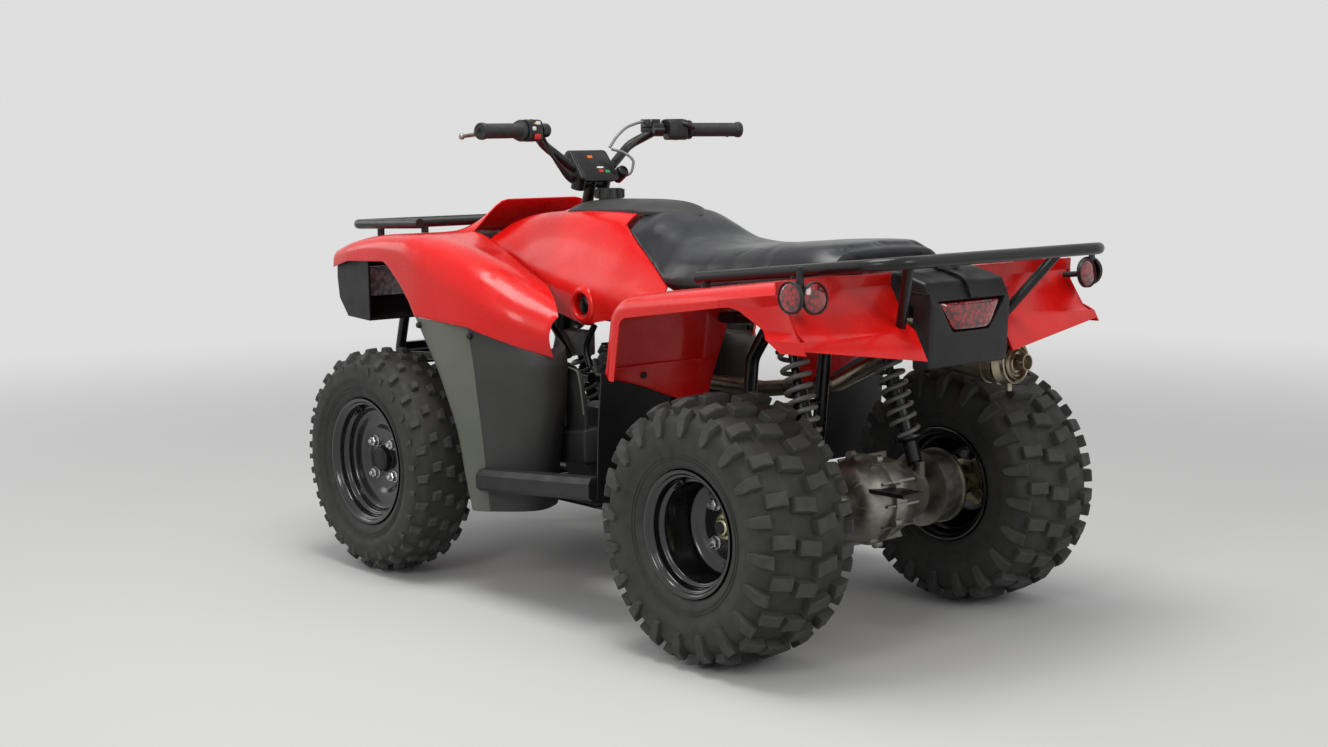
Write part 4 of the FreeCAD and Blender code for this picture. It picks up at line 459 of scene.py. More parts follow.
def cutBelow(points, floor):
    # a section from the top down, ended where it meets the floor height
    out = [points[0]]
    for a, b in zip(points, points[1:]):
        if b[2] < floor and a[2] >= floor and b[2] < a[2]:
            t = (a[2] - floor) / (a[2] - b[2])
            out.append(tuple(a[k] + (b[k] - a[k]) * t for k in range(3)))
            return out
        out.append(b)
    return out


def share(value, low, high):
    # 0 at low, 1 at high, eased between
    t = min(1.0, max(0.0, (value - low) / (high - low)))
    return t * t * (3 - 2 * t)


def circle(a, b, radius, count):
    return [(a + radius * math.cos(2 * math.pi * i / count), b + radius * math.sin(2 * math.pi * i / count))
            for i in range(count)]


def prism(outline, normal, low, high):
    # a closed prism of an outline: y takes (x, z), z takes (x, y), x takes (y, z)
    place = {"y": lambda p, h: (p[0], h, p[1]), "z": lambda p, h: (p[0], p[1], h), "x": lambda p, h: (h, p[0], p[1])}
    lift = place[normal]
    n = len(outline)
    verts = [lift(p, low) for p in outline] + [lift(p, high) for p in outline]
    faces = [(i, (i + 1) % n, n + (i + 1) % n, n + i) for i in range(n)]
    faces += [tuple(range(n))[::-1], tuple(range(n, 2 * n))]
    return verts, faces


def box3(low, high):
    (a, b, c), (d, e, f) = low, high
    verts = [(a, b, c), (d, b, c), (d, e, c), (a, e, c), (a, b, f), (d, b, f), (d, e, f), (a, e, f)]
    faces = [(0, 3, 2, 1), (4, 5, 6, 7), (0, 1, 5, 4), (1, 2, 6, 5), (2, 3, 7, 6), (3, 0, 4, 7)]
    return verts, faces


def turned(profile, steps, closed=True):
    # a (y, radius) profile turned about Y through the origin
    rows = []
    for i in range(steps):
        a = math.tau * i / steps
        rows.append([(r * math.cos(a), y, r * math.sin(a)) for y, r in profile])
    return grid(rows, closeRows=True, closeCols=closed)


def spun(profile, steps):
    # a (radius, height) profile turned about Z
    rows = []
    for i in range(steps):
        a = math.tau * i / steps
        rows.append([(r * math.cos(a), r * math.sin(a), h) for r, h in profile])
    return grid(rows, closeRows=True, closeCols=True)


def moved(shape, by, side=1):
    verts = [(x + by[0], side * y + by[1], z + by[2]) for x, y, z in shape[0]]
    faces = shape[1] if side > 0 else [tuple(reversed(f)) for f in shape[1]]
    return verts, faces


def faced(shape, place, towards):
    # a shape turned about Z, standing on the origin, put at a place with Z towards a direction
    turn = Vector(towards).to_track_quat("Z", "Y").to_matrix()
    return [tuple(turn @ Vector(p) + Vector(place)) for p in shape[0]], shape[1]


def tube(points, radius, sides=14):
    # a round tube along points, its section carried without twist
    path = [Vector(p) for p in points]
    ways = [(path[min(i + 1, len(path) - 1)] - path[max(i - 1, 0)]).normalized() for i in range(len(path))]
    across = ways[0].orthogonal().normalized()
    rows = []
    for i, (point, way) in enumerate(zip(path, ways)):
        across = (across - way * across.dot(way)).normalized()
        other = way.cross(across)
        r = radius(i / (len(path) - 1)) if callable(radius) else radius
        turns = [math.tau * k / sides for k in range(sides)]
        rows.append([tuple(point + (across * math.cos(a) + other * math.sin(a)) * r) for a in turns])
    verts, faces = grid(rows, closeCols=True)
    return verts, faces + capped(verts, sides)


def rounded(width, height, radius, steps=4):
    # outline of a rectangle with round corners, centred
    out = []
    for k, (sx, sy) in enumerate(((1, 1), (-1, 1), (-1, -1), (1, -1))):
        for i in range(steps + 1):
            a = math.pi / 2 * (k + i / steps)
            out.append((sx * (width / 2 - radius) + radius * math.cos(a),
                        sy * (height / 2 - radius) + radius * math.sin(a)))
    return out


def softened(piece, width, segments=2, angle=30, smooth=40):
    # rounds the edges; the flat faces beside them stay flat
    piece.data.shade_smooth()
    roundEdges(piece, width, segments, angle)
    flat = piece.modifiers.new("flat", "WEIGHTED_NORMAL")
    flat.keep_sharp = True
    return applied(piece, smooth)


def roundedNode(node, name, finish, width, bend=None, segments=2):
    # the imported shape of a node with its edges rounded, standing in for it; bend moves its points
    cad = nodes[node]
    data = bmesh.new()
    data.from_mesh(cad.data)
    data.transform(cad.matrix_world)
    bmesh.ops.remove_doubles(data, verts=data.verts, dist=0.02 * mm)
    bmesh.ops.dissolve_limit(data, angle_limit=math.radians(1.2), verts=data.verts, edges=data.edges)
    if bend:
        for vert in data.verts:
            vert.co.z = bend(*(c / mm for c in vert.co)) * mm
    mesh = bpy.data.meshes.new(name)
    data.to_mesh(mesh)
    data.free()
    mesh.materials.clear()
    mesh.materials.append(materials[finish])
    for face in mesh.polygons:
        face.material_index = 0
    piece = placed(name, mesh)
    softened(piece, width, segments, 32, 35)
    mount(piece, "chassis", [node])


def heldIn(piece):
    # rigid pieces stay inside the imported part's box
    for point in piece.data.vertices:
        for k in range(3):
            point.co[k] = min(cadBounds[1][k], max(cadBounds[0][k], point.co[k]))
    piece.data.update()


def pushPin(radius, height):
    # low round head of a panel screw
    return spun([(0.01, 0), (radius, 0), (radius, height * 0.35), (radius * 0.8, height * 0.85),
                 (radius * 0.4, height), (0.01, height)], 24)


def fasten(name, head, spots, finish):
    # the same head at each (place, direction), on both sides of the vehicle
    shapes = [faced(head, onSide(place, side), onSide(towards, side)) for place, towards in spots for side in (1, -1)]
    fitted(name, joined(*shapes), finish, smooth=35)


def carve(piece, shapes, bevel=0.0):
    # cuts closed shapes out of a closed piece
    cutters = []
    for i, shape in enumerate(shapes):
        cutter = newPiece("cutter%d" % i, shape, "blackTexturedPolypropylene")
        cutters.append(cutter)
        cut = piece.modifiers.new("cut%d" % i, "BOOLEAN")
        cut.object = cutter
        cut.operation = "DIFFERENCE"
        cut.solver = "EXACT"
    if bevel:
        roundEdges(piece, bevel)
    applied(piece)
    for cutter in cutters:
        bpy.data.objects.remove(cutter)


def mergedPiece(name, pieces):
    # several pieces as one mesh, each keeping its finish
    data = bmesh.new()
    used = []
    for piece in pieces:
        first = len(data.faces)
        data.from_mesh(piece.data)
        data.faces.ensure_lookup_table()
        finish = piece.data.materials[0]
        if finish not in used:
            used.append(finish)
        for face in data.faces[first:]:
            face.material_index = used.index(finish)
    mesh = bpy.data.meshes.new(name)
    data.to_mesh(mesh)
    data.free()
    for material in used:
        mesh.materials.append(material)
    whole = placed(name, mesh)
    for piece in pieces:
        bpy.data.objects.remove(piece)
    return whole


def roundTree(name):
    # repeats the shape it is given round an axis along Y, then moves it to the hub
    tree = bpy.data.node_groups.new(name, "GeometryNodeTree")
    for label, kind, way in (("Geometry", "NodeSocketGeometry", "INPUT"), ("Copies", "NodeSocketInt", "INPUT"),
                             ("Hub", "NodeSocketVector", "INPUT"), ("Finish", "NodeSocketMaterial", "INPUT"),
                             ("Geometry", "NodeSocketGeometry", "OUTPUT")):
        tree.interface.new_socket(label, in_out=way, socket_type=kind)
    given = addNode(tree, "NodeGroupInput").outputs
    spots = addNode(tree, "GeometryNodeMeshLine", {"Count": given["Copies"], "Offset": (0, 0, 0)})
    order = addNode(tree, "GeometryNodeInputIndex")
    step = addNode(tree, "ShaderNodeMath", {0: math.tau, 1: given["Copies"]}, operation="DIVIDE")
    turn = addNode(tree, "ShaderNodeMath", {0: order.outputs[0], 1: step.outputs[0]}, operation="MULTIPLY")
    about = addNode(tree, "ShaderNodeCombineXYZ", {"Y": turn.outputs[0]})
    copies = addNode(tree, "GeometryNodeInstanceOnPoints", {"Points": spots.outputs[0], "Instance": given["Geometry"],
                                                            "Rotation": about.outputs[0]})
    real = addNode(tree, "GeometryNodeRealizeInstances", {"Geometry": copies.outputs[0]})
    carried = addNode(tree, "GeometryNodeTransform", {"Geometry": real.outputs[0], "Translation": given["Hub"]})
    finish = addNode(tree, "GeometryNodeSetMaterial", {"Geometry": carried.outputs[0], "Material": given["Finish"]})
    addNode(tree, "NodeGroupOutput", {"Geometry": finish.outputs[0]})
    return tree


roundCopies = roundTree("roundCopies")


def setInput(modifier, label, value):
    for item in modifier.node_group.interface.items_tree:
        if item.name == label and item.in_out == "INPUT":
            modifier[item.identifier] = value


def repeated(name, shape, finish, copies, hub, smooth=40):
    # a shape round the origin, repeated about Y and carried to its hub
    piece = newPiece(name, shape, finish)
    made = piece.modifiers.new("copies", "NODES")
    made.node_group = roundCopies
    setInput(made, "Copies", copies)
    setInput(made, "Hub", tuple(h * mm for h in hub))
    setInput(made, "Finish", materials[finish])
    return applied(piece, smooth)


# front fender

fenderShape = {
    "lines": [
        [(852, 0, 742), (765, 0, 770), (680, 0, 788), (600, 0, 806), (560, 0, 846), (525, 0, 882)],
        [(852, 110, 748), (765, 112, 774), (680, 112, 790), (600, 110, 809), (560, 106, 848), (525, 104, 882)],
        [(852, 240, 757), (765, 245, 781), (680, 245, 794), (600, 240, 804), (525, 212, 806), (440, 210, 786),
         (350, 211, 744), (259, 214, 706), (160, 216, 668), (84, 218, 640)],
        [(852, 352, 763), (765, 366, 785), (680, 372, 798), (600, 375, 804), (500, 374, 806), (440, 368, 799),
         (350, 352, 780), (259, 335, 748), (160, 304, 690), (84, 262, 640)],
        [(852, 394, 757), (765, 405, 778), (680, 410, 790), (600, 414, 796), (500, 419, 796), (440, 418, 786),
         (350, 408, 764), (259, 392, 729), (160, 356, 672), (84, 306, 622)],
        [(852, 408, 738), (765, 420, 757), (680, 426, 769), (600, 431, 774), (500, 436, 770), (440, 439, 740),
         (350, 432, 705), (259, 419, 672), (160, 381, 626), (84, 319, 586)],
        [(852, 411, 690), (765, 424, 690), (680, 430, 685), (600, 436, 670), (500, 440, 640), (440, 441, 606),
         (350, 433, 596), (259, 419, 584), (160, 374, 548), (84, 300, 520)],
    ],
    # sections as (from x, to x, count): over the wheel, behind it, and the hood between the fenders
    "overWheel": (852, 445, 44), "behind": (441, 84, 34), "hood": (852, 525, 36), "columns": 30,
    "arch": [(852, 716), (762, 735), (580, 742), (556, 732), (500, 690), (462, 652), (441, 621)],
    "border": [(441, 621), (350, 614), (259, 606), (160, 573), (84, 541)],
    "rearCorner": [(40, 120), (40, 318), (84, 292), (216, 222), (222, 205), (222, 120)], "cornerZ": (480, 820),
    "wall": 3.4,
}


def fenderSide(v, x):
    # one section of the outer fender from its inner edge down to the lip
    line = through([lineAt(l, x) for l in v["lines"][2:]], 7)
    behind = x <= v["behind"][0]
    return cutBelow(line, polyAt(v["border"] if behind else v["arch"], x))


def makeFrontFender(v):
    side = grid([resample(fenderSide(v, x), v["columns"]) for x in evenly(*v["overWheel"]) + evenly(*v["behind"])])
    hood = grid([mirroredRow(through([lineAt(l, x) for l in v["lines"][:3]], 6)) for x in evenly(*v["hood"])])
    piece = newPiece("frontFender", joined(bothSides(side), hood), "redGlossPolypropylene", weld=2.0)
    thicken(piece, v["wall"], 1.0)
    corner = prism(v["rearCorner"], "z", *v["cornerZ"])
    carve(piece, [corner, flipSide(*corner)])
    mount(piece, "chassis", ["front_fender"])


makeFrontFender(fenderShape)


# tank cover

tankShape = {
    "lines": [
        [(505, 0, 836), (440, 0, 850), (350, 0, 860), (259, 0, 866), (180, 0, 870), (106, 0, 870), (20, 0, 864),
         (-60, 0, 842), (-168, 0, 800)],
        [(505, 62, 834), (440, 65, 848), (350, 65, 858), (180, 65, 868), (106, 65, 868), (20, 65, 862),
         (-60, 65, 840), (-168, 65, 798)],
        [(505, 106, 822), (440, 110, 834), (350, 112, 843), (180, 113, 852), (106, 112, 852), (20, 109, 844),
         (-60, 108, 822), (-168, 108, 785)],
        [(505, 145, 802), (440, 146, 808), (350, 150, 806), (180, 153, 806), (20, 151, 798), (-60, 150, 782),
         (-168, 150, 755)],
        [(505, 172, 788), (440, 176, 782), (350, 181, 760), (180, 187, 738), (20, 188, 727), (-60, 189, 716),
         (-168, 191, 703)],
        [(505, 188, 776), (440, 192, 758), (350, 198, 720), (180, 206, 675), (20, 209, 666), (-168, 209, 664)],
        [(505, 196, 764), (440, 200, 738), (350, 205, 684), (259, 206, 650), (180, 204, 624), (106, 202, 610),
         (20, 204, 622), (-60, 206, 636), (-168, 208, 642)],
    ],
    "run": (505, -168, 72), "columns": 40,
    "seatLine": [(42, 830), (-176, 700)],
    # openings: the steering well as (from x, to x, half width), the filler as (x, radius), the knob as (x, z, radius)
    "well": (318, 470, 88),
    "filler": (257, 27),
    "ring": (106, 651, 28),
    "topCut": (780, 900), "sideCut": (150, 260), "wall": 3.4,
}


def makeTankCover(v):
    rows = [mirroredRow(resample(through([lineAt(l, x) for l in v["lines"]], 6), v["columns"]))
            for x in evenly(*v["run"])]
    piece = newPiece("tankCover", grid(rows), "redGlossPolypropylene")
    front, back, half = v["well"]
    well = prism([(front, -half), (back, -half), (back, half), (front, half)], "z", *v["topCut"])
    (x1, z1), (x2, z2) = v["seatLine"]
    seatCut = prism([(x1, z1), (x2, z2), (x2, 960), (x1, 960)], "y", -260, 260)
    fillerX, fillerR = v["filler"]
    filler = prism(circle(fillerX, 0, fillerR, 40), "z", *v["topCut"])
    x, z, r = v["ring"]
    thicken(piece, v["wall"])
    carve(piece, [well, seatCut, filler, prism(circle(x, z, r, 40), "y", *v["sideCut"])])
    mount(piece, "chassis", ["tank_cover"])


makeTankCover(tankShape)


# rear fender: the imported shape, its edges rounded as the moulding's are

roundedNode("rear_fender", "rearFender", "redGlossPolypropylene", 1.5, segments=3)


# foot of the rear fender's front walls: it drops towards the frame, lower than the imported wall

wallFootShape = {
    "lean": (453, -233, -0.125),  # z, x there, x per z
    "foot": (446, 556, 24), "strip": (550, 690, 12), "stripTo": 160,
    "inner": [(446, 136), (520, 124), (610, 96), (690, 88)],
    "outer": [(446, 150), (453, 171), (477, 230), (510, 320), (539, 421), (556, 422)],
    "wall": 3.0,
}


def makeWallFoot(v):
    z0, x0, lean = v["lean"]
    rows, strip = [], []
    for z in evenly(*v["foot"]):
        ys = evenly(polyAt(v["inner"], z), polyAt(v["outer"], z), 16)
        rows.append([(x0 + lean * (z - z0), y, z) for y in ys])
    for z in evenly(*v["strip"]):
        strip.append([(x0 + lean * (z - z0) - 0.4, y, z) for y in evenly(polyAt(v["inner"], z), v["stripTo"], 6)])
    piece = newPiece("wallFoot", bothSides(joined(grid(rows), grid(strip))), "redGlossPolypropylene")
    thicken(piece, v["wall"], 0.8)
    mount(piece)


makeWallFoot(wallFootShape)


# fuel valve knob in its raised ring on the left of the tank cover

knobShape = {"place": (106, 651), "ring": 31, "knob": 20, "face": 205}


def makeKnob(v):
    x, z = v["place"]
    face, r, n = v["face"], v["ring"], v["knob"]
    ring = turned(through([(face - 14, r - 5), (face, r - 5), (face + 6, r - 3), (face + 8, r + 1), (face + 6, r + 7),
                           (face - 1, r + 13), (face - 14, r + 16)], 3), 56)
    fitted("knobRing", moved(ring, (x, 0, z)), "redGlossPolypropylene", smooth=60)
    body = turned([(face - 60, 0.01), (face - 60, 9), (face - 30, 9), (face - 26, n), (face - 8, n),
                   (face - 3, n - 2.5), (face - 1, n - 7), (face - 0.5, n - 11), (face - 3, n - 13),
                   (face - 3.5, 0.01)], 40)
    bar = box3((-4, face - 8, -n + 4), (4, face + 2, n - 4))
    fitted("tankKnob", moved(joined(body, bar), (x, 0, z)), "glossBlackEnamel", replaces=["fuel_valve"], smooth=35)


makeKnob(knobShape)


# tank top: textured strip over the tank that tapers onto the seat's nose

tankTopShape = {
    "spine": [(302, 874, 92), (290, 879, 97), (214, 884, 99), (100, 885, 99), (40, 883, 93), (0, 878, 74),
              (-36, 868, 46), (-60, 857, 22), (-70, 851, 6)],
    "run": (-70, 302, 64), "crown": 20, "skirt": 9, "neck": (257, 28), "neckCut": (820, 920), "wall": 3.5,
}


def makeTankTop(v):
    spine = sorted(v["spine"])
    xs = [p[0] for p in spine]
    rows = []
    for x in evenly(*v["run"]):
        top, half = (softCurve(xs, [p[k] for p in spine], x) for k in (1, 2))
        row = [(x, half * s, top - v["crown"] * s ** 2.6 * min(1, half / 90)) for s in evenly(0, 1, 16)]
        low = row[-1][2]
        row += [(x, half + 1.2, low - 3), (x, half + 0.5, low - v["skirt"])]
        rows.append(mirroredRow(row))
    piece = newPiece("tankTop", grid(rows), "charcoalTexturedPolypropylene")
    thicken(piece, v["wall"])
    x, r = v["neck"]
    carve(piece, [prism(circle(x, 0, r, 48), "z", *v["neckCut"])], 0.8)
    mount(piece, "chassis", ["tank_top"])


makeTankTop(tankTopShape)


# leg shields: textured wall behind each front wheel; its outer strip takes a lighter grey as painted light, where the
# same dark moulding faces the lamps

shieldShape = {
    "levels": [
        (170, [(172, 236), (150, 262), (120, 330), (176, 412), (200, 433), (216, 438), (222, 434)]),
        (268, [(172, 232), (140, 254), (106, 318), (186, 412), (222, 436), (244, 441), (252, 436)]),
        (360, [(172, 228), (126, 254), (94, 308), (196, 412), (242, 437), (267, 442), (276, 437)]),
        (446, [(172, 226), (112, 250), (86, 300), (206, 411), (276, 438), (308, 443), (318, 438)]),
        (520, [(174, 226), (112, 246), (86, 300), (216, 408), (312, 437), (352, 443), (364, 438)]),
        (560, [(178, 226), (120, 246), (100, 306), (224, 405), (338, 436), (382, 442), (396, 437)]),
        (625, [(186, 226), (136, 249), (118, 322), (234, 401), (384, 435), (434, 441), (446, 437)]),
    ],
    # the painted-light tone of the outer strip meets the wall's own dark tone at a step of the section; columns of the
    # dark part and the painted-light part
    "rows": (194, 625, 60), "steps": 8, "border": 26, "columns": (30, 18), "wall": 3.4, "fenderGap": 0.4,
}


def makeShields(v):
    levels = v["levels"]
    zs = [z for z, _ in levels]
    halves = [[], []]
    for z in evenly(*v["rows"]):
        line = [tuple(softCurve(zs, [pts[k][c] for _, pts in levels], z) for c in (0, 1)) for k in range(7)]
        run = [(x, y, z) for x, y in through(line, v["steps"])]
        for half, part, cols in zip(halves, (run[:v["border"] + 1], run[v["border"]:]), v["columns"]):
            half.append([(x, y, min(z, polyAt(fenderShape["border"], x) - v["fenderGap"]))
                         for x, y, z in resample(part, cols)])
    pieces = []
    # the wall in its own charcoal, the outer strip in a lighter grey that is painted light
    for k, finish in enumerate(("charcoalTexturedPolypropylene", "greyTexturedPolypropylene")):
        part = newPiece("shield%d" % k, bothSides(grid(halves[k])), finish, weld=0.2)
        pieces.append(thicken(part, v["wall"], 0.9))
    mount(mergedPiece("legShields", pieces), "chassis", ["leg_shields"])


makeShields(shieldShape)


# seat: a padded form swollen by a cloth simulation

seatShape = {
    # x, half outline from the centre to the edge as (y, z), underside height
    "sections": [
        (34, [(0, 870), (60, 865), (96, 850), (126, 829), (146, 812)], 800),
        (-20, [(0, 867), (54, 863), (100, 846), (137, 816), (160, 788)], 772),
        (-76, [(0, 843), (60, 840), (104, 823), (149, 783), (171, 755)], 742),
        (-150, [(0, 800), (70, 799), (120, 792), (165, 755), (189, 722)], 706),
        (-235, [(0, 789), (80, 789), (140, 783), (184, 755), (197, 722)], 702),
        (-350, [(0, 793), (80, 793), (145, 787), (187, 760), (199, 726)], 702),
        (-445, [(0, 802), (80, 802), (147, 795), (186, 768), (197, 733)], 708),
        (-590, [(0, 808), (80, 807), (139, 801), (174, 778), (187, 751)], 720),
        (-640, [(0, 802), (80, 800), (129, 794), (157, 775), (168, 756)], 726),
    ],
    "voxel": 6.0, "pressure": 4.0, "frames": 20, "move": 5.0, "fill": 0.8,
    # the nose goes under the tank cover by tuck, eased in over this reach behind the cover's edge
    "tuck": 6.0, "tuckReach": 26, "tuckEase": 1.3, "tuckAbove": 640,
}


def makeSeat(v):
    sections = sorted(v["sections"], key=lambda s: s[0])
    xs = [s[0] for s in sections]
    rows = []
    for x in evenly(xs[0], xs[-1], 70):
        half = [(x, softCurve(xs, [s[1][k][0] for s in sections], x), softCurve(xs, [s[1][k][1] for s in sections], x))
                for k in range(5)]
        floor = softCurve(xs, [s[2] for s in sections], x)
        half = resample(through(half, 6), 22)
        edge = half[-1][1]
        rows.append(mirroredRow(half + [(x, edge - 4, floor + 6), (x, edge - 16, floor), (x, edge * 0.5, floor)]))
    verts, faces = grid(rows, closeCols=True)
    piece = newPiece("seat", (verts, faces + capped(verts, len(rows[0]))), "grainedVinyl")
    remesh = piece.modifiers.new("even", "REMESH")
    remesh.mode = "VOXEL"
    remesh.voxel_size = v["voxel"] * mm
    applied(piece)
    swell(piece, v)
    tuck(piece, v)
    finer = piece.modifiers.new("finer", "SUBSURF")
    finer.levels = finer.render_levels = 1
    applied(piece, 60)
    mount(piece, "chassis", ["seat"])


def tuck(piece, v):
    # what lies ahead of the tank cover's edge goes under the cover
    (x1, z1), (x2, z2) = tankShape["seatLine"]
    coverFront = tankShape["run"][0]
    for point in piece.data.vertices:
        x, y, z = (c / mm for c in point.co)
        behind = x1 + (x2 - x1) * (z1 - z) / (z1 - z2) - x
        if behind > v["tuckReach"] or z < v["tuckAbove"]:
            continue
        room = v["tuck"] - v["tuckEase"] * max(0.0, behind)
        section = through([lineAt(line, min(coverFront, x)) for line in tankShape["lines"]], 4)
        z = min(z, max(p[2] for p in section) - room)
        for a, b in zip(section, section[1:]):
            if a[2] >= z + room > b[2]:
                limit = a[1] + (b[1] - a[1]) * (a[2] - z - room) / (a[2] - b[2]) - room / 2
                y = math.copysign(min(abs(y), max(0.0, limit)), y)
                break
        point.co = (x * mm, y * mm, z * mm)
    piece.data.update()


def swell(piece, v):
    # pressure fills the cover like foam, with no point moved further than the cap
    start = [p.co.copy() for p in piece.data.vertices]
    cloth = piece.modifiers.new("foam", "CLOTH")
    settings = cloth.settings
    settings.use_pressure = True
    settings.uniform_pressure_force = v["pressure"]
    settings.effector_weights.gravity = 0
    settings.quality = 4
    scene = bpy.context.scene
    for frameNumber in range(1, v["frames"] + 1):
        scene.frame_set(frameNumber)
    seen = piece.evaluated_get(bpy.context.evaluated_depsgraph_get())
    swollen = [p.co.copy() for p in seen.data.vertices]
    piece.modifiers.clear()
    cap = v["move"] * mm
    for point, before, after in zip(piece.data.vertices, start, swollen):
        step = after - before
        point.co = before + (step if step.length < cap else step.normalized() * cap)
    scene.frame_set(1)
    piece.data.update()


makeSeat(seatShape)
print("seat made")


# tail box, its strap, lamp and round reflectors

tailBoxShape = {
    "body": [(-664, 754), (-700, 762), (-762, 764), (-834, 744), (-854, 704), (-850, 640), (-846, 580), (-800, 574),
             (-800, 692), (-664, 714)],
    "half": 117, "round": 7,
    "lens": [(100, 709), (-100, 709), (-54, 647), (54, 647)], "lensCut": (-900, -834),
    "lid": (-664, -846, 30), "lidAt": 722, "lidRise": 0.088,
    "strap": [(-744, 767.5), (-790, 761), (-826, 752), (-846, 738), (-856, 712)], "strapHalf": 9,
}


def makeTailBox(v):
    half, band = v["half"], v["strapHalf"]
    piece = newPiece("tailBox", prism(v["body"], "y", -half, half), "blackTexturedPolypropylene")
    roundEdges(piece, v["round"], 4, 25)
    applied(piece)
    carve(piece, [prism(v["lens"], "x", *v["lensCut"])], 1.2)
    mount(piece, "chassis", ["tail_box"])
    # lid seam, drawn as a thin raised bead of the lid's overlap
    bead = []
    for x in evenly(*v["lid"]):
        z = v["lidAt"] + (x - v["lid"][1]) * v["lidRise"]
        bead.append([(x, half + 0.8, z - 1.6), (x, half + 1.6, z), (x, half + 0.8, z + 1.6), (x, half - 2, z)])
    fitted("lidSeam", bothSides(grid(bead, closeCols=True)), "blackTexturedPolypropylene")
    strap = [[(x - 1, -band, z + 1.2), (x - 1, band, z + 1.2), (x + 1, band, z - 1.5), (x + 1, -band, z - 1.5)]
             for x, z in through(v["strap"], 6)]
    fitted("lidStrap", grid(strap, closeCols=True), "blackTexturedPolypropylene")


makeTailBox(tailBoxShape)

lensShape = {"top": (98, 707), "foot": (53, 649), "face": -862, "rim": -836, "bulge": 2.7, "wall": 2.4}


def makeTailLamp(v):
    (topHalf, topZ), (footHalf, footZ) = v["top"], v["foot"]
    rows = []
    for t in evenly(0, 1, 17):
        z = topZ + (footZ - topZ) * t
        half = topHalf + (footHalf - topHalf) * t
        row = []
        for s in evenly(-1, 1, 33):
            pillow = max(0.0, (1 - abs(s) ** 6) * (1 - abs(2 * t - 1) ** 6)) ** 0.35
            out = v["face"] - v["rim"] + 4.0 * (1 - t)
            row.append((v["rim"] + out * pillow + v["bulge"] * (s * s), half * s, z))
        rows.append(row)
    piece = newPiece("tailLens", grid(rows), "redAcrylicLens", 30)
    thicken(piece, v["wall"], smooth=30)
    mount(piece, "chassis", ["tail_light"])


makeTailLamp(lensShape)

reflectorShape = {
    "spots": [((-828, 404, 734), (-1, 0.05, 0.10)), ((-802, 448, 736), (0, 1, 0))], "stems": (60, 24),
    "arm": ((-818, 424, 728), (-812, 440, 792)), "tab": ((-822, 392, 729), (-812, 440, 735)),
    "radius": 27, "rim": 30,
}


def makeReflectors(v):
    r, rim = v["radius"], v["rim"]
    dome = spun([(0.01, 1.2), (r * 0.5, 0.9), (r * 0.85, -0.4), (r, -2.5), (r, -8), (0.01, -8)], 48)
    cup = spun([(r + 0.2, -9), (r + 0.2, -1.5), (r + 1.2, 0), (rim - 0.6, 0), (rim, -1.2), (rim, -9)], 48)
    domes, cups = [], []
    for (place, towards), deep in zip(v["spots"], v["stems"]):
        stem = spun([(0.01, -deep), (6, -deep), (6, -9), (rim - 4, -9), (0.01, -9)], 24)
        for side in (1, -1):
            where, way = onSide(place, side), onSide(towards, side)
            domes.append(faced(dome, where, way))
            cups += [faced(cup, where, way), faced(stem, where, way)]
    fitted("roundReflectors", joined(*domes), "redAcrylicLens", replaces=["reflectors"], smooth=35)
    fitted("reflectorBracket", joined(bothSides(box3(*v["arm"])), bothSides(box3(*v["tab"]))), "satinBlackEnamel",
           edge=(1.2,))
    fitted("reflectorCups", joined(*cups), "blackTexturedPolypropylene", smooth=35)


makeReflectors(reflectorShape)
print("tail made")


# tyres: a turned carcass with its lugs repeated round by Geometry Nodes

frontTyreShape = {
    "hub": (585, 429, 268), "radius": 268, "width": 166, "rim": 153, "bead": 66, "lug": 11,
    # lug outlines as (across, along) in one share of the tread, which is repeated this many times
    "copies": 24,
    "lugs": [
        [(-9, -15), (9, -9), (9, 11), (-9, 15)],
        [(24, -28), (44, -24), (44, -4), (26, -6)],
        [(-44, 4), (-24, 8), (-26, 28), (-44, 24)],
        [(54, 0), (80, 4), (80, 22), (56, 20)],
        [(-80, -22), (-56, -20), (-54, 0), (-80, -4)],
        [(84, -24), (104, -20), (104, -8), (86, -10)],
        [(-104, 8), (-86, 10), (-84, 24), (-104, 20)],
    ],
}
rearTyreShape = {
    "hub": (-545, 373, 266), "radius": 266, "width": 230, "rim": 128, "bead": 97, "lug": 17,
    "copies": 20,
    "lugs": [
        [(-5, -13), (20, -19), (46, -22), (50, 6), (24, 11), (-2, 15)],
        [(-46, 17), (-20, 22), (5, 26), (2, 54), (-24, 50), (-50, 45)],
        [(58, -34), (98, -37), (100, -10), (60, -7)],
        [(-98, 2), (-58, 5), (-60, 32), (-100, 29)],
        [(96, 1), (134, -2), (148, 2), (148, 16), (132, 24), (96, 28)],
        [(-134, 37), (-96, 40), (-96, 67), (-132, 63), (-148, 55), (-148, 41)],
    ],
}


def tyreLine(v):
    # the (y, radius) line of the carcass outside, bead to bead
    crown = v["radius"] - v["lug"]
    half = v["width"] / 2
    rim = v["rim"]
    mid = rim + 0.46 * (crown - rim)
    side = [(v["bead"], rim), (v["bead"] + 5, rim + 7), (v["bead"] + 9, rim + 16), (half - 6, rim + 34), (half, mid),
            (half - 3, mid + 0.5 * (crown - mid)), (half - 14, crown - 18), (half * 0.66, crown - 5)]
    right = [(-y, r) for y, r in side]
    return through(right + [(0, crown)] + side[::-1], 5)


def alongLine(line, distance):
    # the point and outward direction at a distance from the crown's middle
    mid = len(line) // 2
    step = 1 if distance >= 0 else -1
    left = abs(distance)
    i = mid
    while 0 < i < len(line) - 1:
        span = math.dist(line[i], line[i + step])
        if span >= left:
            break
        left -= span
        i += step
    a, b = line[i], line[min(max(i + step, 0), len(line) - 1)]
    span = math.dist(a, b) or 1.0
    t = min(1.0, left / span)
    ty, tr = (b[0] - a[0]) / span * step, (b[1] - a[1]) / span * step
    return (a[0] + (b[0] - a[0]) * t, a[1] + (b[1] - a[1]) * t), (-tr, ty)


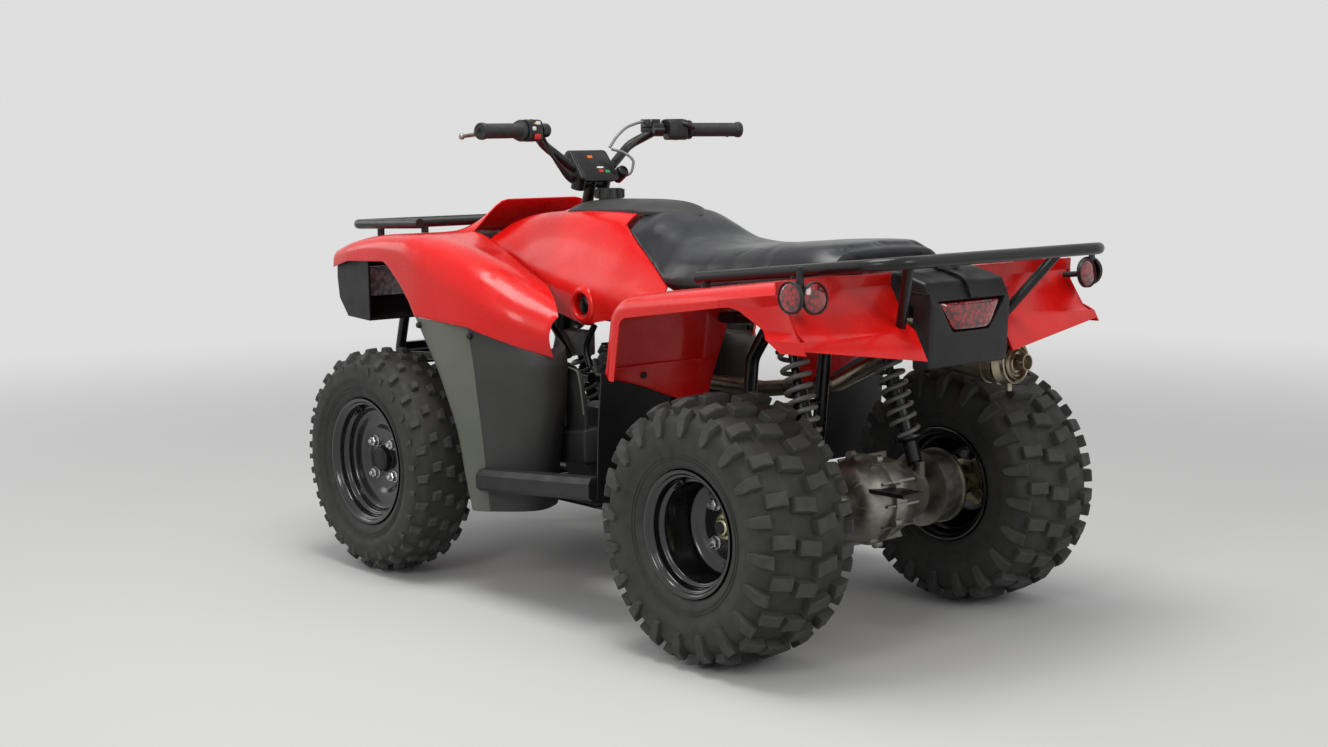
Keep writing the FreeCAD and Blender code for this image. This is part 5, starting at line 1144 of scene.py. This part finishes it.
def lugShape(v, line, outline):
    # a block on the carcass: foot, chamfer and top follow the carcass line
    crown = v["radius"] - v["lug"]
    dense = []
    for a, b in zip(outline, outline[1:] + outline[:1]):
        cuts = max(1, int(abs(b[0] - a[0]) / 14))
        dense += [(a[0] + (b[0] - a[0]) * k / cuts, a[1] + (b[1] - a[1]) * k / cuts) for k in range(cuts)]
    middle = (sum(p[0] for p in dense) / len(dense), sum(p[1] for p in dense) / len(dense))
    rings = []
    for height, draft in ((-3.0, -0.6), (v["lug"] - 2.2, 1.4), (v["lug"], 3.6)):
        ring = []
        for across, along in dense:
            away = math.dist((across, along), middle)
            pull = 1 - draft / away
            d, s = middle[0] + (across - middle[0]) * pull, middle[1] + (along - middle[1]) * pull
            (y, r), (ny, nr) = alongLine(line, d)
            reach = height * max(0.45, min(1.0, nr + 0.25)) if height > 0 else height
            y, r = y + ny * reach, r + nr * reach
            a = s / crown
            ring.append((r * math.cos(a), y, r * math.sin(a)))
        rings.append(ring)
    n = len(dense)
    verts = [p for ring in rings for p in ring]
    faces = []
    for k in range(2):
        faces += [(k * n + i, k * n + (i + 1) % n, (k + 1) * n + (i + 1) % n, (k + 1) * n + i) for i in range(n)]
    faces.append(tuple(2 * n + i for i in range(n)))
    return verts, faces


def makeTyre(name, v, side, body, node):
    line = tyreLine(v)
    inner = [(y * 0.94, r - 7 if r > v["rim"] + 12 else r) for y, r in line[::-1]]
    carcass = turned(line + inner, 120)
    ribs = []
    for radius in (v["rim"] + 20, v["rim"] + 26):
        (y, r) = min(line[len(line) // 2:], key=lambda p: abs(p[1] - radius))
        for s in (1, -1):
            ribs.append(turned([(s * (y - 1), r - 1.6), (s * (y + 1.4), r - 0.9), (s * (y + 1.4), r + 0.9),
                                (s * (y - 1), r + 1.6)], 96))
    lugs = joined(*[lugShape(v, line, outline) for outline in v["lugs"]])
    hub = onSide(v["hub"], side)
    shell = newPiece(name + "Shell", joined(carcass, *ribs), "naturalTyreRubber", 50)
    shell.data.transform(Matrix.Translation([h * mm for h in hub]))
    # the lugs take the paler rubber: dust, and a painted sheen where their tops catch light
    tread = repeated(name + "Tread", lugs, "dustAndSheenTreadRubber", v["copies"], hub, 32)
    whole = mergedPiece(name, [shell, tread])
    heldIn(whole)
    mount(whole, body, [node])


for word, side in (("Left", 1), ("Right", -1)):
    low = word.lower()
    makeTyre("frontTyre" + word, frontTyreShape, side, "front_wheel_" + low, "front_tyre_" + low)
    makeTyre("rearTyre" + word, rearTyreShape, side, "rear_axle", "rear_tyre_" + low)
print("tyres made")


# rims, hubs, axle and nuts

rimShape = {
    "front": {"hub": (585, 429, 268), "radius": 152, "half": 70, "inset": 52},
    "rear": {"hub": (-545, 373, 266), "radius": 127, "half": 101, "inset": 108},
    "wall": 3.4, "hole": 33,
    # rolled lip, bead seat and drop well, as (in from the edge, in from the radius)
    "steps": [(1.8, 1.8), (1.6, 5), (4.5, 8.5), (8, 11), (10, 15), (14, 17), (23, 18.5), (27, 21), (29, 26),
              (34, 28.2), (42, 28.6)],
    "valveAngle": 68, "valveIn": (26, 24),
    "valve": [(0.01, 0), (7, 0), (7, 4), (4.2, 7), (4.2, 20), (3.2, 21), (3.2, 27), (0.01, 27)],
}
hubShape = {
    "stud": 55, "nut": 12.5, "nutHeight": 13, "first": 45,
    "front": {"seat": 437},
    "rear": {"seat": 356, "plate": 9},
    "flange": (4, 47, 67, 128),  # bolts, radius between them, radius at them, points
    "shaft": [(-385, 0.01), (-385, 12), (-382, 14.6), (382, 14.6), (385, 12), (385, 0.01)],
    "drum": [(362, 0.01), (362, 74), (365, 78), (398, 78), (400, 75), (402, 75), (404, 78), (413, 77), (417, 70),
             (419, 67)],
}


def makeRim(end, word, side, v):
    face = [(v[end]["half"] - a, v[end]["radius"] - b) for a, b in v["steps"]]
    wellR = face[-1][1]
    plate = v[end]["half"] - v[end]["inset"]
    barrel = through(face + [(-y, r) for y, r in face[::-1]], 3)
    disc = through([(plate + 12, wellR + 1.5), (plate + 7, wellR - 1), (plate + 3, wellR - 6), (plate + 1, 88),
                    (plate - 1.5, 82), (plate - 6.5, 74), (plate - 8, 69), (plate - 8, 50), (plate - 8, v["hole"])], 3)
    x, y, z = v[end]["hub"]
    hub = onSide(v[end]["hub"], side)
    shapes = joined(turned(barrel, 96, False), turned(disc, 96, False))
    name = end + "Rim" + word
    rim = newPiece(name, moved(shapes, hub, side), "glossBlackEnamel", 50)
    thicken(rim, v["wall"], offset=0, smooth=50)
    angle = math.radians(v["valveAngle"])
    fromEdge, fromRadius = v["valveIn"]
    r = v[end]["radius"] - fromRadius
    spot = (x + r * math.cos(angle), side * (y + v[end]["half"] - fromEdge), z + r * math.sin(angle))
    lean = (-0.5 * math.cos(angle), side, -0.5 * math.sin(angle))
    stem = newPiece(name + "Valve", faced(spun(v["valve"], 20), spot, lean), "blackTexturedPolypropylene")
    whole = mergedPiece(name, [rim, stem])
    mount(whole, "rear_axle" if end == "rear" else "front_wheel_" + word.lower(), [end + "_rim_" + word.lower()])


def lobes(count, low, high, steps, first=0.0):
    # an outline that bulges out at each bolt
    out = []
    for i in range(steps):
        a = math.tau * i / steps
        bulge = max(0.0, math.cos((a - first) * count)) ** 0.7
        r = low + (high - low) * bulge
        out.append((r * math.cos(a), r * math.sin(a)))
    return out


def nutShape(v):
    # a chamfered hexagon nut on its washer, with the end of the stud
    hexagon = spun([(0.01, 2), (v["nut"], 2), (v["nut"], v["nutHeight"] - 2), (v["nut"] - 2.2, v["nutHeight"]),
                    (0.01, v["nutHeight"])], 6)
    washer = spun([(0.01, 0), (v["nut"] + 2, 0), (v["nut"] + 2, 1.6), (v["nut"] + 1, 2.2), (0.01, 2.2)], 32)
    stud = spun([(0.01, 4), (6.2, 4), (6.2, 18), (5.2, 19.5), (0.01, 19.5)], 20)
    return joined(hexagon, washer, stud)


def makeNuts(name, end, side, body, v):
    x, _, z = rimShape[end]["hub"]
    angle = math.radians(v["first"])
    face = side * (v[end]["seat"] + 4)
    place = (v["stud"] * math.cos(angle), 0, v["stud"] * math.sin(angle))
    nut = faced(nutShape(v), place, (0, side, 0))
    mount(repeated(name, nut, "brightZincPlate", 4, (x, face, z), 30), body)


def makeRearAxle(v):
    x, _, z = rimShape["rear"]["hub"]
    seat = v["rear"]["seat"]
    inner = seat - v["rear"]["plate"]
    shaft = newPiece("axleShaft", moved(turned(v["shaft"], 32), (x, 0, z)), "blackenedSteel")
    hubs = []
    for side in (1, -1):
        plate = prism(lobes(*v["flange"], math.radians(v["first"])), "y", inner, seat)
        boss = turned([(304, 0.01), (304, 27), (340, 27.5), (inner, 33), (seat, 33), (seat + 1, 29), (seat + 14, 28),
                       (seat + 18, 25), (seat + 18, 0.01)], 40)
        cap = turned([(seat + 18, 0.01), (seat + 18, 20), (seat + 26, 19), (seat + 28, 15), (seat + 28, 0.01)], 6)
        for name, shape in (("Plate", plate), ("Boss", boss), ("Cap", cap)):
            hubs.append(newPiece("hub%s%d" % (name, side), moved(shape, (x, 0, z), side), "yellowZincPlate", 35))
    plated = mergedPiece("rearHubs", hubs)
    roundEdges(plated, 1.2, 2, 30)
    applied(plated, 35)
    mount(mergedPiece("rearAxle", [plated, shaft]), "rear_axle", ["rear_axle"])


def makeFrontHub(word, side, v):
    x, _, z = rimShape["front"]["hub"]
    seat = v["front"]["seat"]
    line = v["drum"] + [(seat - 2, 67), (seat, 65), (seat + 1, 34), (seat + 4, 30), (seat + 18, 29), (seat + 22, 25),
                        (seat + 24, 16), (seat + 24, 0.01)]
    body = "front_wheel_" + word.lower()
    fitted("frontHub" + word, moved(turned(line, 64), (x, 0, z), side), "blackenedSteel", body,
           ["front_hub_" + word.lower()], 35)
    makeNuts("frontNuts" + word, "front", side, body, v)


for word, side in (("Left", 1), ("Right", -1)):
    for end in ("front", "rear"):
        makeRim(end, word, side, rimShape)
    makeFrontHub(word, side, hubShape)
    makeNuts("rearNuts" + word, "rear", side, "rear_axle", hubShape)
makeRearAxle(hubShape)
print("wheels made")


# shock absorbers: a coil over a damper body, with an eye at each end

shockShape = {
    "rear": {"low": (-579, 150, 326), "top": (-475, 132, 650), "coil": 27, "wire": 5.2, "body": 20, "turns": 8,
             "span": (0.20, 0.80)},
    "front": {"low": (597, 262, 182), "top": (588, 118, 604), "coil": 25, "wire": 4.8, "body": 18, "turns": 10,
              "span": (0.22, 0.84)},
    "eye": 12, "eyeHalf": 13,
}


def makeShocks(end, v):
    s = v[end]
    springs, bodies = [], []
    for side in (1, -1):
        low, top = (Vector(onSide(place, side)) for place in (s["low"], s["top"]))
        way = top - low
        length = way.length
        unit = way / length
        across = unit.cross(Vector((1, 0, 0))).normalized()
        other = unit.cross(across)
        start, finish = (length * t for t in s["span"])
        steps = s["turns"] * 20
        helix = []
        for i in range(steps + 1):
            t = i / steps
            # the end turns lie flat on their seats
            rise = start + (finish - start) * (0.04 * share(t, 0, 0.1) + 0.92 * t + 0.04 * share(t, 0.9, 1))
            a = math.tau * s["turns"] * t
            helix.append(tuple(low + unit * rise + (across * math.cos(a) + other * math.sin(a)) * s["coil"]))
        springs.append(tube(helix, s["wire"], 12))
        seat, r = s["coil"] + s["wire"] + 2, s["body"]
        line = [(0.01, 10), (r - 4, 10), (r - 2, start - 16), (seat - 6, start - 12), (seat, start - 9),
                (seat, start - 4), (r - 3, start - 3), (r - 4, start + (finish - start) * 0.62),
                (9, start + (finish - start) * 0.64), (9, finish + 3), (seat, finish + 4), (seat, finish + 9),
                (seat - 5, finish + 14), (r, finish + 18), (r - 2, length - 14), (0.01, length - 10)]
        bodies.append(faced(spun(line, 36), low, way))
        eye, half = v["eye"], v["eyeHalf"]
        ring = turned([(-half, 5), (-half, eye), (half, eye), (half, 5)], 28)
        bodies += [moved(ring, tuple(place)) for place in (low, top)]
    fitted(end + "Coils", joined(*springs), "greySpringEnamel", smooth=60)
    fitted(end + "Dampers", joined(*bodies), "satinBlackEnamel", "chassis", [end + "_shocks"], 35)


makeShocks("rear", shockShape)
makeShocks("front", shockShape)


# castings, brackets and moulded trays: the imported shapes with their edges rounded

riseShape = {"trayRise": 34, "trayFrom": 150, "trayTo": -213, "guardTop": 330, "guardShare": 0.52}


def trayRise(x, y, z):
    # foot trays and pegs rise towards the rear
    v = riseShape
    return z + v["trayRise"] * min(1.0, max(0.0, (v["trayFrom"] - x) / (v["trayFrom"] - v["trayTo"])))


def guardRise(x, y, z):
    # the lower part of the mudguards is drawn up
    top = riseShape["guardTop"]
    return z if z > top else top - (top - z) * riseShape["guardShare"]


castings = [
    # node, name, finish, rounding, bend
    ("final_drive", "finalDrive", "castAluminium", 1.4, None),
    ("engine", "engineCase", "blackPaintedAluminium", 1.6, None),
    ("exhaust", "exhaustPipe", "heatTintedStainless", 1.0, None),
    ("swingarm", "swingArm", "satinBlackEnamel", 1.2, None),
    ("side_cover", "sideCover", "charcoalTexturedPolypropylene", 1.6, None),
    ("footwells", "footTrays", "blackTexturedPolypropylene", 1.2, trayRise),
    ("footpegs", "rubberPegs", "blackTexturedPolypropylene", 0.8, trayRise),
    ("rear_mudguards", "mudguards", "blackTexturedPolypropylene", 1.2, guardRise),
    ("skid_plate", "skidPlate", "blackTexturedPolypropylene", 1.2, None),
    ("hitch", "hitchPlate", "satinBlackEnamel", 1.0, None),
]
for casting in castings:
    roundedNode(*casting)
print("castings made")


# exhaust end: a ringed cap round the outlet pipe

exhaustEnd = {
    "place": (-776, -237.5, 557.5), "towards": (-0.985, -0.05, 0.05),
    "rings": [(46, -4, 5), (37, 1, 4), (27, 4, 4)],  # radius, height, width
    "outlet": [(14.5, -6), (14.5, 26), (17, 26), (17, -6)],
}


def makeExhaustEnd(v):
    rings = [spun([(r - wide, h - 8), (r - wide, h + 1), (r - wide / 2, h + 3), (r, h + 1), (r, h - 8)], 48)
             for r, h, wide in v["rings"]]
    rings.append(spun(v["outlet"], 36))
    fitted("exhaustEnd", faced(joined(*rings), v["place"], v["towards"]), "heatTintedStainless", smooth=50)


makeExhaustEnd(exhaustEnd)


# panels and tubes that show between the leg shield and the mudguard

gapShape = {
    "panel": ((178, 112, 524), (262, 150, 582)),
    "stayR": 7.5,
    "stays": [[(290, 158, 596), (246, 160, 556), (216, 160, 520)], [(122, 160, 600), (152, 162, 548), (138, 162, 505)]],
    "rim": [(142, 233, 374), (139, 233, 500), (132, 233, 509), (98, 233, 504), (92, 233, 496), (73, 233, 406)],
    "rimR": 2.4,
    # side outlines as (x, z), with their reach across
    "face": [(143, 362), (140, 502), (132, 510), (98, 505), (91, 497), (72, 404), (70, 362)], "faceAt": (222, 231),
    "box": [(176, 357), (65, 373), (65, 297), (180, 284)], "boxAt": (176, 238),
}


def makeGapPieces(v):
    fitted("airBoxSide", box3(*v["panel"]), "greyCableSheath", edge=(5, 3))
    stays = [tube(through(points, 6), v["stayR"]) for points in v["stays"]]
    fitted("frameStays", joined(*stays), "satinBlackEnamel")
    fitted("sideCoverFace", prism(v["face"], "y", *v["faceAt"]), "charcoalTexturedPolypropylene", edge=(2, 3))
    fitted("sideCoverBox", prism(v["box"], "y", *v["boxAt"]), "charcoalTexturedPolypropylene", edge=(6, 3))
    fitted("sideCoverRim", tube(through(v["rim"], 5), v["rimR"], 10), "greyTexturedPolypropylene")


makeGapPieces(gapShape)


# screws and bolts of the panels, as (place, direction)

panelScrews = [((416, 441.2, 602), (-0.05, 1, 0.1)), ((255, 411.8, 586), (-0.26, 0.96, 0)),
               ((164, 358.2, 552), (-0.62, 0.78, 0)), ((101, 307.6, 519), (-0.62, 0.78, 0)),
               ((-241.4, 408, 556), (-1, 0, 0.1)), ((-240.4, 322, 534), (-1, 0, 0.1))]
fasten("panelScrews", pushPin(7.5, 9), panelScrews, "blackTexturedPolypropylene")


# handlebar: grips, switch housing, throttle case, levers, reservoir and cable

barShape = {
    "grip": (262, 255, 1045), "gripEnd": (222, 395, 1044), "gripR": 17, "ribs": 26, "ribsFrom": 10, "plain": 24,
    "collar": [(11.2, 0), (23, 0), (23.4, 2), (23, 6), (18, 8)],
    # spans are measured inwards from the grip's start
    "housing": (44, 50, 12), "housingAt": (8, 58), "seamAt": (31, 33), "seamGrow": 1.2,
    "clampAt": (70, 96), "clampR": 16.5,
    "block": (24, 22, 5), "blockDepth": 46, "blockAt": 84, "blockOff": (2, 0, 2),
    "throttle": [(0.01, 0), (27, 0), (29, 2), (29, 15), (26, 18), (0.01, 18)], "throttleOff": (12, 0, 8),
    "thumb": [(-8, 0, 16), (-24, -6, 14), (-40, -26, 4)], "throttleAt": 30,
    "tank": (44, 34, 7), "tankDepth": 26, "tankAt": 82, "tankOff": (26, 0, 4),
    "lever": [(304, 222, 1048), (322, 262, 1045), (318, 300, 1042), (300, 350, 1038), (280, 404, 1033)],
    "cable": [(318, -52, 1004), (316, -78, 1034), (322, -120, 1056), (318, -168, 1066), (304, -196, 1062),
              (292, -212, 1056)],
    "cableR": 3.6,
    # name, off the bar, distance along, (width, height, depth), direction, finish
    "switches": [
        ("chokeLever", (-10, 0, 18), 34, (9, 26, 4), (-0.4, 0, 1), "yellowSwitchPlastic"),
        ("stopSwitch", (-24, 0, -14), 38, (16, 12, 6), (-1, 0.1, -0.1), "redSwitchPlastic"),
        ("startButton", (-23, 0, 4), 28, (9, 9, 5), (-1, 0.1, 0.1), "whiteSwitchPlastic"),
        ("lampSwitch", (-22, 0, 16), 44, (12, 8, 4), (-1, 0.1, 0.3), "whiteSwitchPlastic"),
    ],
}


def gripPath(v, side):
    start, end = (Vector(onSide(v[key], side)) for key in ("grip", "gripEnd"))
    return start, end, (end - start).normalized()


def makeGrips(v):
    # moulded rubber with a collar, rows of fine ribs and a closed end with a hole
    shapes = []
    for side in (1, -1):
        start, end, way = gripPath(v, side)
        length = (end - start).length
        ribbed = length - v["plain"]
        step = ribbed / v["ribs"]
        line = list(v["collar"])
        for i in range(v["ribs"]):
            h = v["ribsFrom"] + ribbed * i / v["ribs"]
            line += [(v["gripR"] - 0.9, h), (v["gripR"], h + step * 0.3), (v["gripR"], h + step * 0.7)]
        line += [(18.6, length - 12), (19.4, length - 8), (19.2, length - 3), (17, length), (6, length),
                 (5, length - 3), (0.01, length - 3), (0.01, length - 5), (11.2, length - 5)]
        shapes.append(faced(spun(line, 48), start, way))
    fitted("barGrips", joined(*shapes), "nitrileGripRubber", "steering", ["grips"], 35)


def makeControls(v):
    width, height, corner = v["housing"]
    grow = v["seamGrow"]
    pieces = []
    for side in (1, -1):
        start, _, way = gripPath(v, side)
        inward = -way
        case = faced(prism(rounded(width, height, corner), "z", *v["housingAt"]), start, inward)
        part = newPiece("case%d" % side, case, "blackTexturedPolypropylene")
        softened(part, 2.5, 3, 50)
        seam = faced(prism(rounded(width + grow, height + grow, corner), "z", *v["seamAt"]), start, inward)
        clamp = tube([start + inward * h for h in v["clampAt"]], v["clampR"], 28)
        block = faced(prism(rounded(*v["block"]), "z", 0, v["blockDepth"]),
                      start + inward * v["blockAt"] + Vector(v["blockOff"]), (1, 0, 0.05))
        parts = [newPiece("seam%d" % side, seam, "blackTexturedPolypropylene"),
                 newPiece("clamp%d" % side, clamp, "satinBlackEnamel"),
                 newPiece("block%d" % side, block, "satinBlackEnamel")]
        softened(parts[2], 2, 2)
        pieces += [part] + parts
    # thumb throttle case on the right, deeper than the switch housing
    start, _, way = gripPath(v, -1)
    middle = start - way * v["throttleAt"]
    cover = faced(spun(v["throttle"], 40), middle + Vector(v["throttleOff"]), (0.1, 0, 1))
    thumb = tube(through([tuple(middle + Vector(p)) for p in v["thumb"]], 8), lambda t: 7 - 2 * t, 14)
    # brake reservoir ahead of the right perch
    tank = faced(prism(rounded(*v["tank"]), "z", 0, v["tankDepth"]), start - way * v["tankAt"] + Vector(v["tankOff"]),
                 (0, 0, 1))
    for name, shape, finish in (("throttle", cover, "blackTexturedPolypropylene"),
                                ("thumb", thumb, "blackTexturedPolypropylene"),
                                ("tank", tank, "satinBlackEnamel")):
        pieces.append(newPiece(name, shape, finish))
    softened(pieces[-1], 3, 3)
    whole = mergedPiece("barControls", pieces)
    heldIn(whole)
    mount(whole, "steering", ["controls"])
    levers = []
    for side in (1, -1):
        path = through([onSide(point, side) for point in v["lever"]], 8)
        levers.append(tube(path, lambda t: 7.5 - 3.2 * t, 14))
        ball = [(7.4 * math.cos(a), 7.4 * math.sin(a)) for a in evenly(-math.pi / 2, math.pi / 2, 11)]
        tip = spun([(max(0.01, r), h) for r, h in ball], 20)
        levers.append(faced(tip, path[-1], (0, side, 0)))
    fitted("barLevers", joined(*levers), "castAluminium", "steering", smooth=50)
    # switches of the left housing: lamp and start buttons, stop switch, starting choke
    start, _, way = gripPath(v, 1)
    for name, offset, along, (w, h, d), towards, finish in v["switches"]:
        place = start - way * along + Vector(offset)
        piece = newPiece(name, faced(prism(rounded(w, h, 2), "z", -3, d), place, towards), finish)
        softened(piece, 1, 2)
        heldIn(piece)
        mount(piece, "steering")
    fitted("brakeCable", tube(through(v["cable"], 10), v["cableR"], 12), "greyCableSheath", "steering")


makeGrips(barShape)
makeControls(barShape)


# instrument pod: a panel with its warning lamps on the face towards the rider

podShape = {
    "foot": (282, 926), "top": (338, 996), "half": 50,
    # name, share of the panel's height, y, size, finish
    "lamps": [("neutralLamp", 0.78, 6, (15, 8), "amberLamp"), ("reverseLamp", 0.30, -8, (13, 8), "redLamp"),
              ("oilLamp", 0.28, -26, (13, 8), "greenLamp"), ("panelMark", 0.42, -10, (20, 5), "whiteSwitchPlastic")],
    # side outline of the housing as (x, z), half width at its panel
    "body": [(284, 931), (337, 997), (352, 999), (372, 976), (376, 950), (360, 930), (302, 926)], "wide": 58,
    "lock": (300, -74, 944),
}


def makePod(v):
    (x1, z1), (x2, z2) = v["foot"], v["top"]
    size = math.dist(v["foot"], v["top"])
    along = ((x2 - x1) / size, (z2 - z1) / size)
    out = (-along[1], 0, along[0])
    middle = ((x1 + x2) / 2, 0, (z1 + z2) / 2)
    fitted("podCase", prism(v["body"], "y", -v["wide"], v["wide"]), "blackTexturedPolypropylene", "steering",
           ["instrument_pod"], edge=(9, 4))
    panel = faced(prism(rounded(v["half"] * 2, size - 8, 9), "z", -1, 2.2), middle, out)
    fitted("podPanel", panel, "satinBlackEnamel", "steering", edge=(0.8, 2))
    frame = prism(rounded(v["half"] * 2 + 8, size - 1, 11), "z", -2, 1.2)
    fitted("podRim", faced(frame, middle, out), "blackTexturedPolypropylene", "steering")
    for name, t, y, (w, h), finish in v["lamps"]:
        place = (x1 + (x2 - x1) * t + out[0] * 2, y, z1 + (z2 - z1) * t + out[2] * 2)
        fitted(name, faced(prism(rounded(w, h, 2), "z", -1, 1.2), place, out), finish, "steering")
    # ignition lock and its collar beside the pod
    lock = spun([(0.01, -24), (16, -24), (16, 0), (14, 0), (14, 9), (12, 11), (8, 11), (8, 9), (0.01, 9)], 36)
    fitted("ignitionLock", faced(lock, v["lock"], (-0.8, 0, 0.5)), "satinBlackEnamel", "steering")


makePod(podShape)


# hoses and cables that turn with the bar

barLines = [
    # points, radius, finish
    ([(268, 196, 1050), (300, 150, 1010), (326, 96, 960), (342, 52, 926), (346, 12, 910)], 4.2, "nitrileGripRubber"),
    ([(262, 206, 1034), (288, 150, 990), (308, 92, 950), (330, 50, 922), (342, 12, 904)], 3.6, "nitrileGripRubber"),
    ([(282, -196, 1052), (308, -150, 1030), (330, -100, 985), (344, -52, 930), (346, -12, 910)], 4.2,
     "nitrileGripRubber"),
    ([(314, -54, 1000), (300, -84, 990), (284, -98, 968), (286, -92, 944), (308, -62, 928), (338, -14, 912)], 3.4,
     "greyCableSheath"),
]
for number, (points, radius, finish) in enumerate(barLines):
    fitted("barLine%d" % number, tube(through(points, 8), radius, 12), finish, "steering")
print("handlebar made")


# camera, lamps and floor

cameraView = {"place": (-3.0896, 2.7084, 1.0162), "yaw": -40.646, "pitch": 7.351, "roll": -0.670, "lens": 48.70}


def makeCamera(v):
    yaw, pitch, roll = (math.radians(v[k]) for k in ("yaw", "pitch", "roll"))
    ahead = Vector((math.cos(pitch) * math.cos(yaw), math.cos(pitch) * math.sin(yaw), -math.sin(pitch)))
    right = Vector((math.sin(yaw), -math.cos(yaw), 0))
    up = right.cross(ahead)
    rolledRight = right * math.cos(roll) + up * math.sin(roll)
    rolledUp = up * math.cos(roll) - right * math.sin(roll)
    turn = Matrix((rolledRight, rolledUp, -ahead)).transposed()
    data = bpy.data.cameras.new("camera")
    data.sensor_width = 36
    data.lens = v["lens"]
    camera = placed("camera", data)
    camera.matrix_world = Matrix.Translation(v["place"]) @ turn.to_4x4()
    bpy.context.scene.camera = camera


makeCamera(cameraView)

lampSet = [
    # name, place, size, watts
    ("overhead", (-0.2, 0.6, 3.4), 1.5, 66),
    ("leftWindow", (-1.6, 3.6, 2.4), 1.2, 34),
    ("rearWindow", (-4.0, -0.4, 2.2), 1.2, 24),
    ("frontFill", (3.4, 1.6, 2.0), 1.6, 14),
]
for name, place, size, watts in lampSet:
    light = bpy.data.lights.new(name, "AREA")
    light.size = size
    light.energy = watts
    lamp = placed(name, light)
    lamp.location = place
    lamp.rotation_euler = (Vector((0, 0, 0.5)) - Vector(place)).to_track_quat("-Z", "Y").to_euler()


# the lamps light the object; the fill is what lights it from the sky around
backdrop = "#dedfde"
skyFill = {"colour": "#f2f3f5", "strength": 0.66}
# metres; between fadeFrom and fadeTo the floor turns into the backdrop
floorShape = {"half": 30.0, "colour": "#c6c6c4", "fadeFrom": 1.6, "fadeTo": 6.0}


def backdropRays(tree):
    # 1 for the rays that see the plain backdrop: the camera's, and those in metal and glass
    seen = addNode(tree, "ShaderNodeLightPath").outputs
    eye = addNode(tree, "ShaderNodeMath", {0: seen["Is Camera Ray"], 1: seen["Is Glossy Ray"]}, operation="MAXIMUM")
    both = addNode(tree, "ShaderNodeMath", {0: eye.outputs[0], 1: seen["Is Transmission Ray"]}, operation="MAXIMUM")
    return both.outputs[0]


def makeWorld():
    world = bpy.data.worlds.new("studio")
    bpy.context.scene.world = world
    world.use_nodes = True
    tree = world.node_tree
    tree.nodes.clear()
    plain = addNode(tree, "ShaderNodeBackground", {"Color": srgb(backdrop), "Strength": 1.0})
    fill = addNode(tree, "ShaderNodeBackground", {"Color": srgb(skyFill["colour"]), "Strength": skyFill["strength"]})
    mixed = addNode(tree, "ShaderNodeMixShader", {0: backdropRays(tree), 1: fill.outputs[0], 2: plain.outputs[0]})
    out = addNode(tree, "ShaderNodeOutputWorld")
    tree.links.new(mixed.outputs[0], out.inputs["Surface"])


makeWorld()


def makeFloor(v):
    half = v["half"]
    mesh = bpy.data.meshes.new("studioFloor")
    mesh.from_pydata([(-half, -half, 0), (half, -half, 0), (half, half, 0), (-half, half, 0)], [], [(0, 1, 2, 3)])
    floor = placed("studioFloor", mesh)
    material, tree, shader, place = blankMaterial("paleStudioFloor")
    shader.inputs["Base Color"].default_value = srgb(v["colour"])
    shader.inputs["Roughness"].default_value = 0.9
    shader.inputs["Specular IOR Level"].default_value = 0.1
    # far from the object the floor turns into the backdrop, for what the eye and gloss see only
    away = addNode(tree, "ShaderNodeVectorMath", {0: place}, operation="LENGTH")
    fade = addNode(tree, "ShaderNodeMapRange", {"Value": away.outputs["Value"], "From Min": v["fadeFrom"],
                                                "From Max": v["fadeTo"]}, interpolation_type="SMOOTHSTEP")
    shown = addNode(tree, "ShaderNodeMath", {0: fade.outputs[0], 1: backdropRays(tree)}, operation="MULTIPLY")
    plain = addNode(tree, "ShaderNodeEmission", {"Color": srgb(backdrop), "Strength": 1.0})
    mixed = addNode(tree, "ShaderNodeMixShader", {0: shown.outputs[0], 1: shader.outputs[0], 2: plain.outputs[0]})
    out = [node for node in tree.nodes if node.type == "OUTPUT_MATERIAL"][0]
    tree.links.new(mixed.outputs[0], out.inputs["Surface"])
    mesh.materials.append(material)


makeFloor(floorShape)
bpy.context.scene.view_settings.view_transform = "Standard"
print("camera, lamps and floor ready")
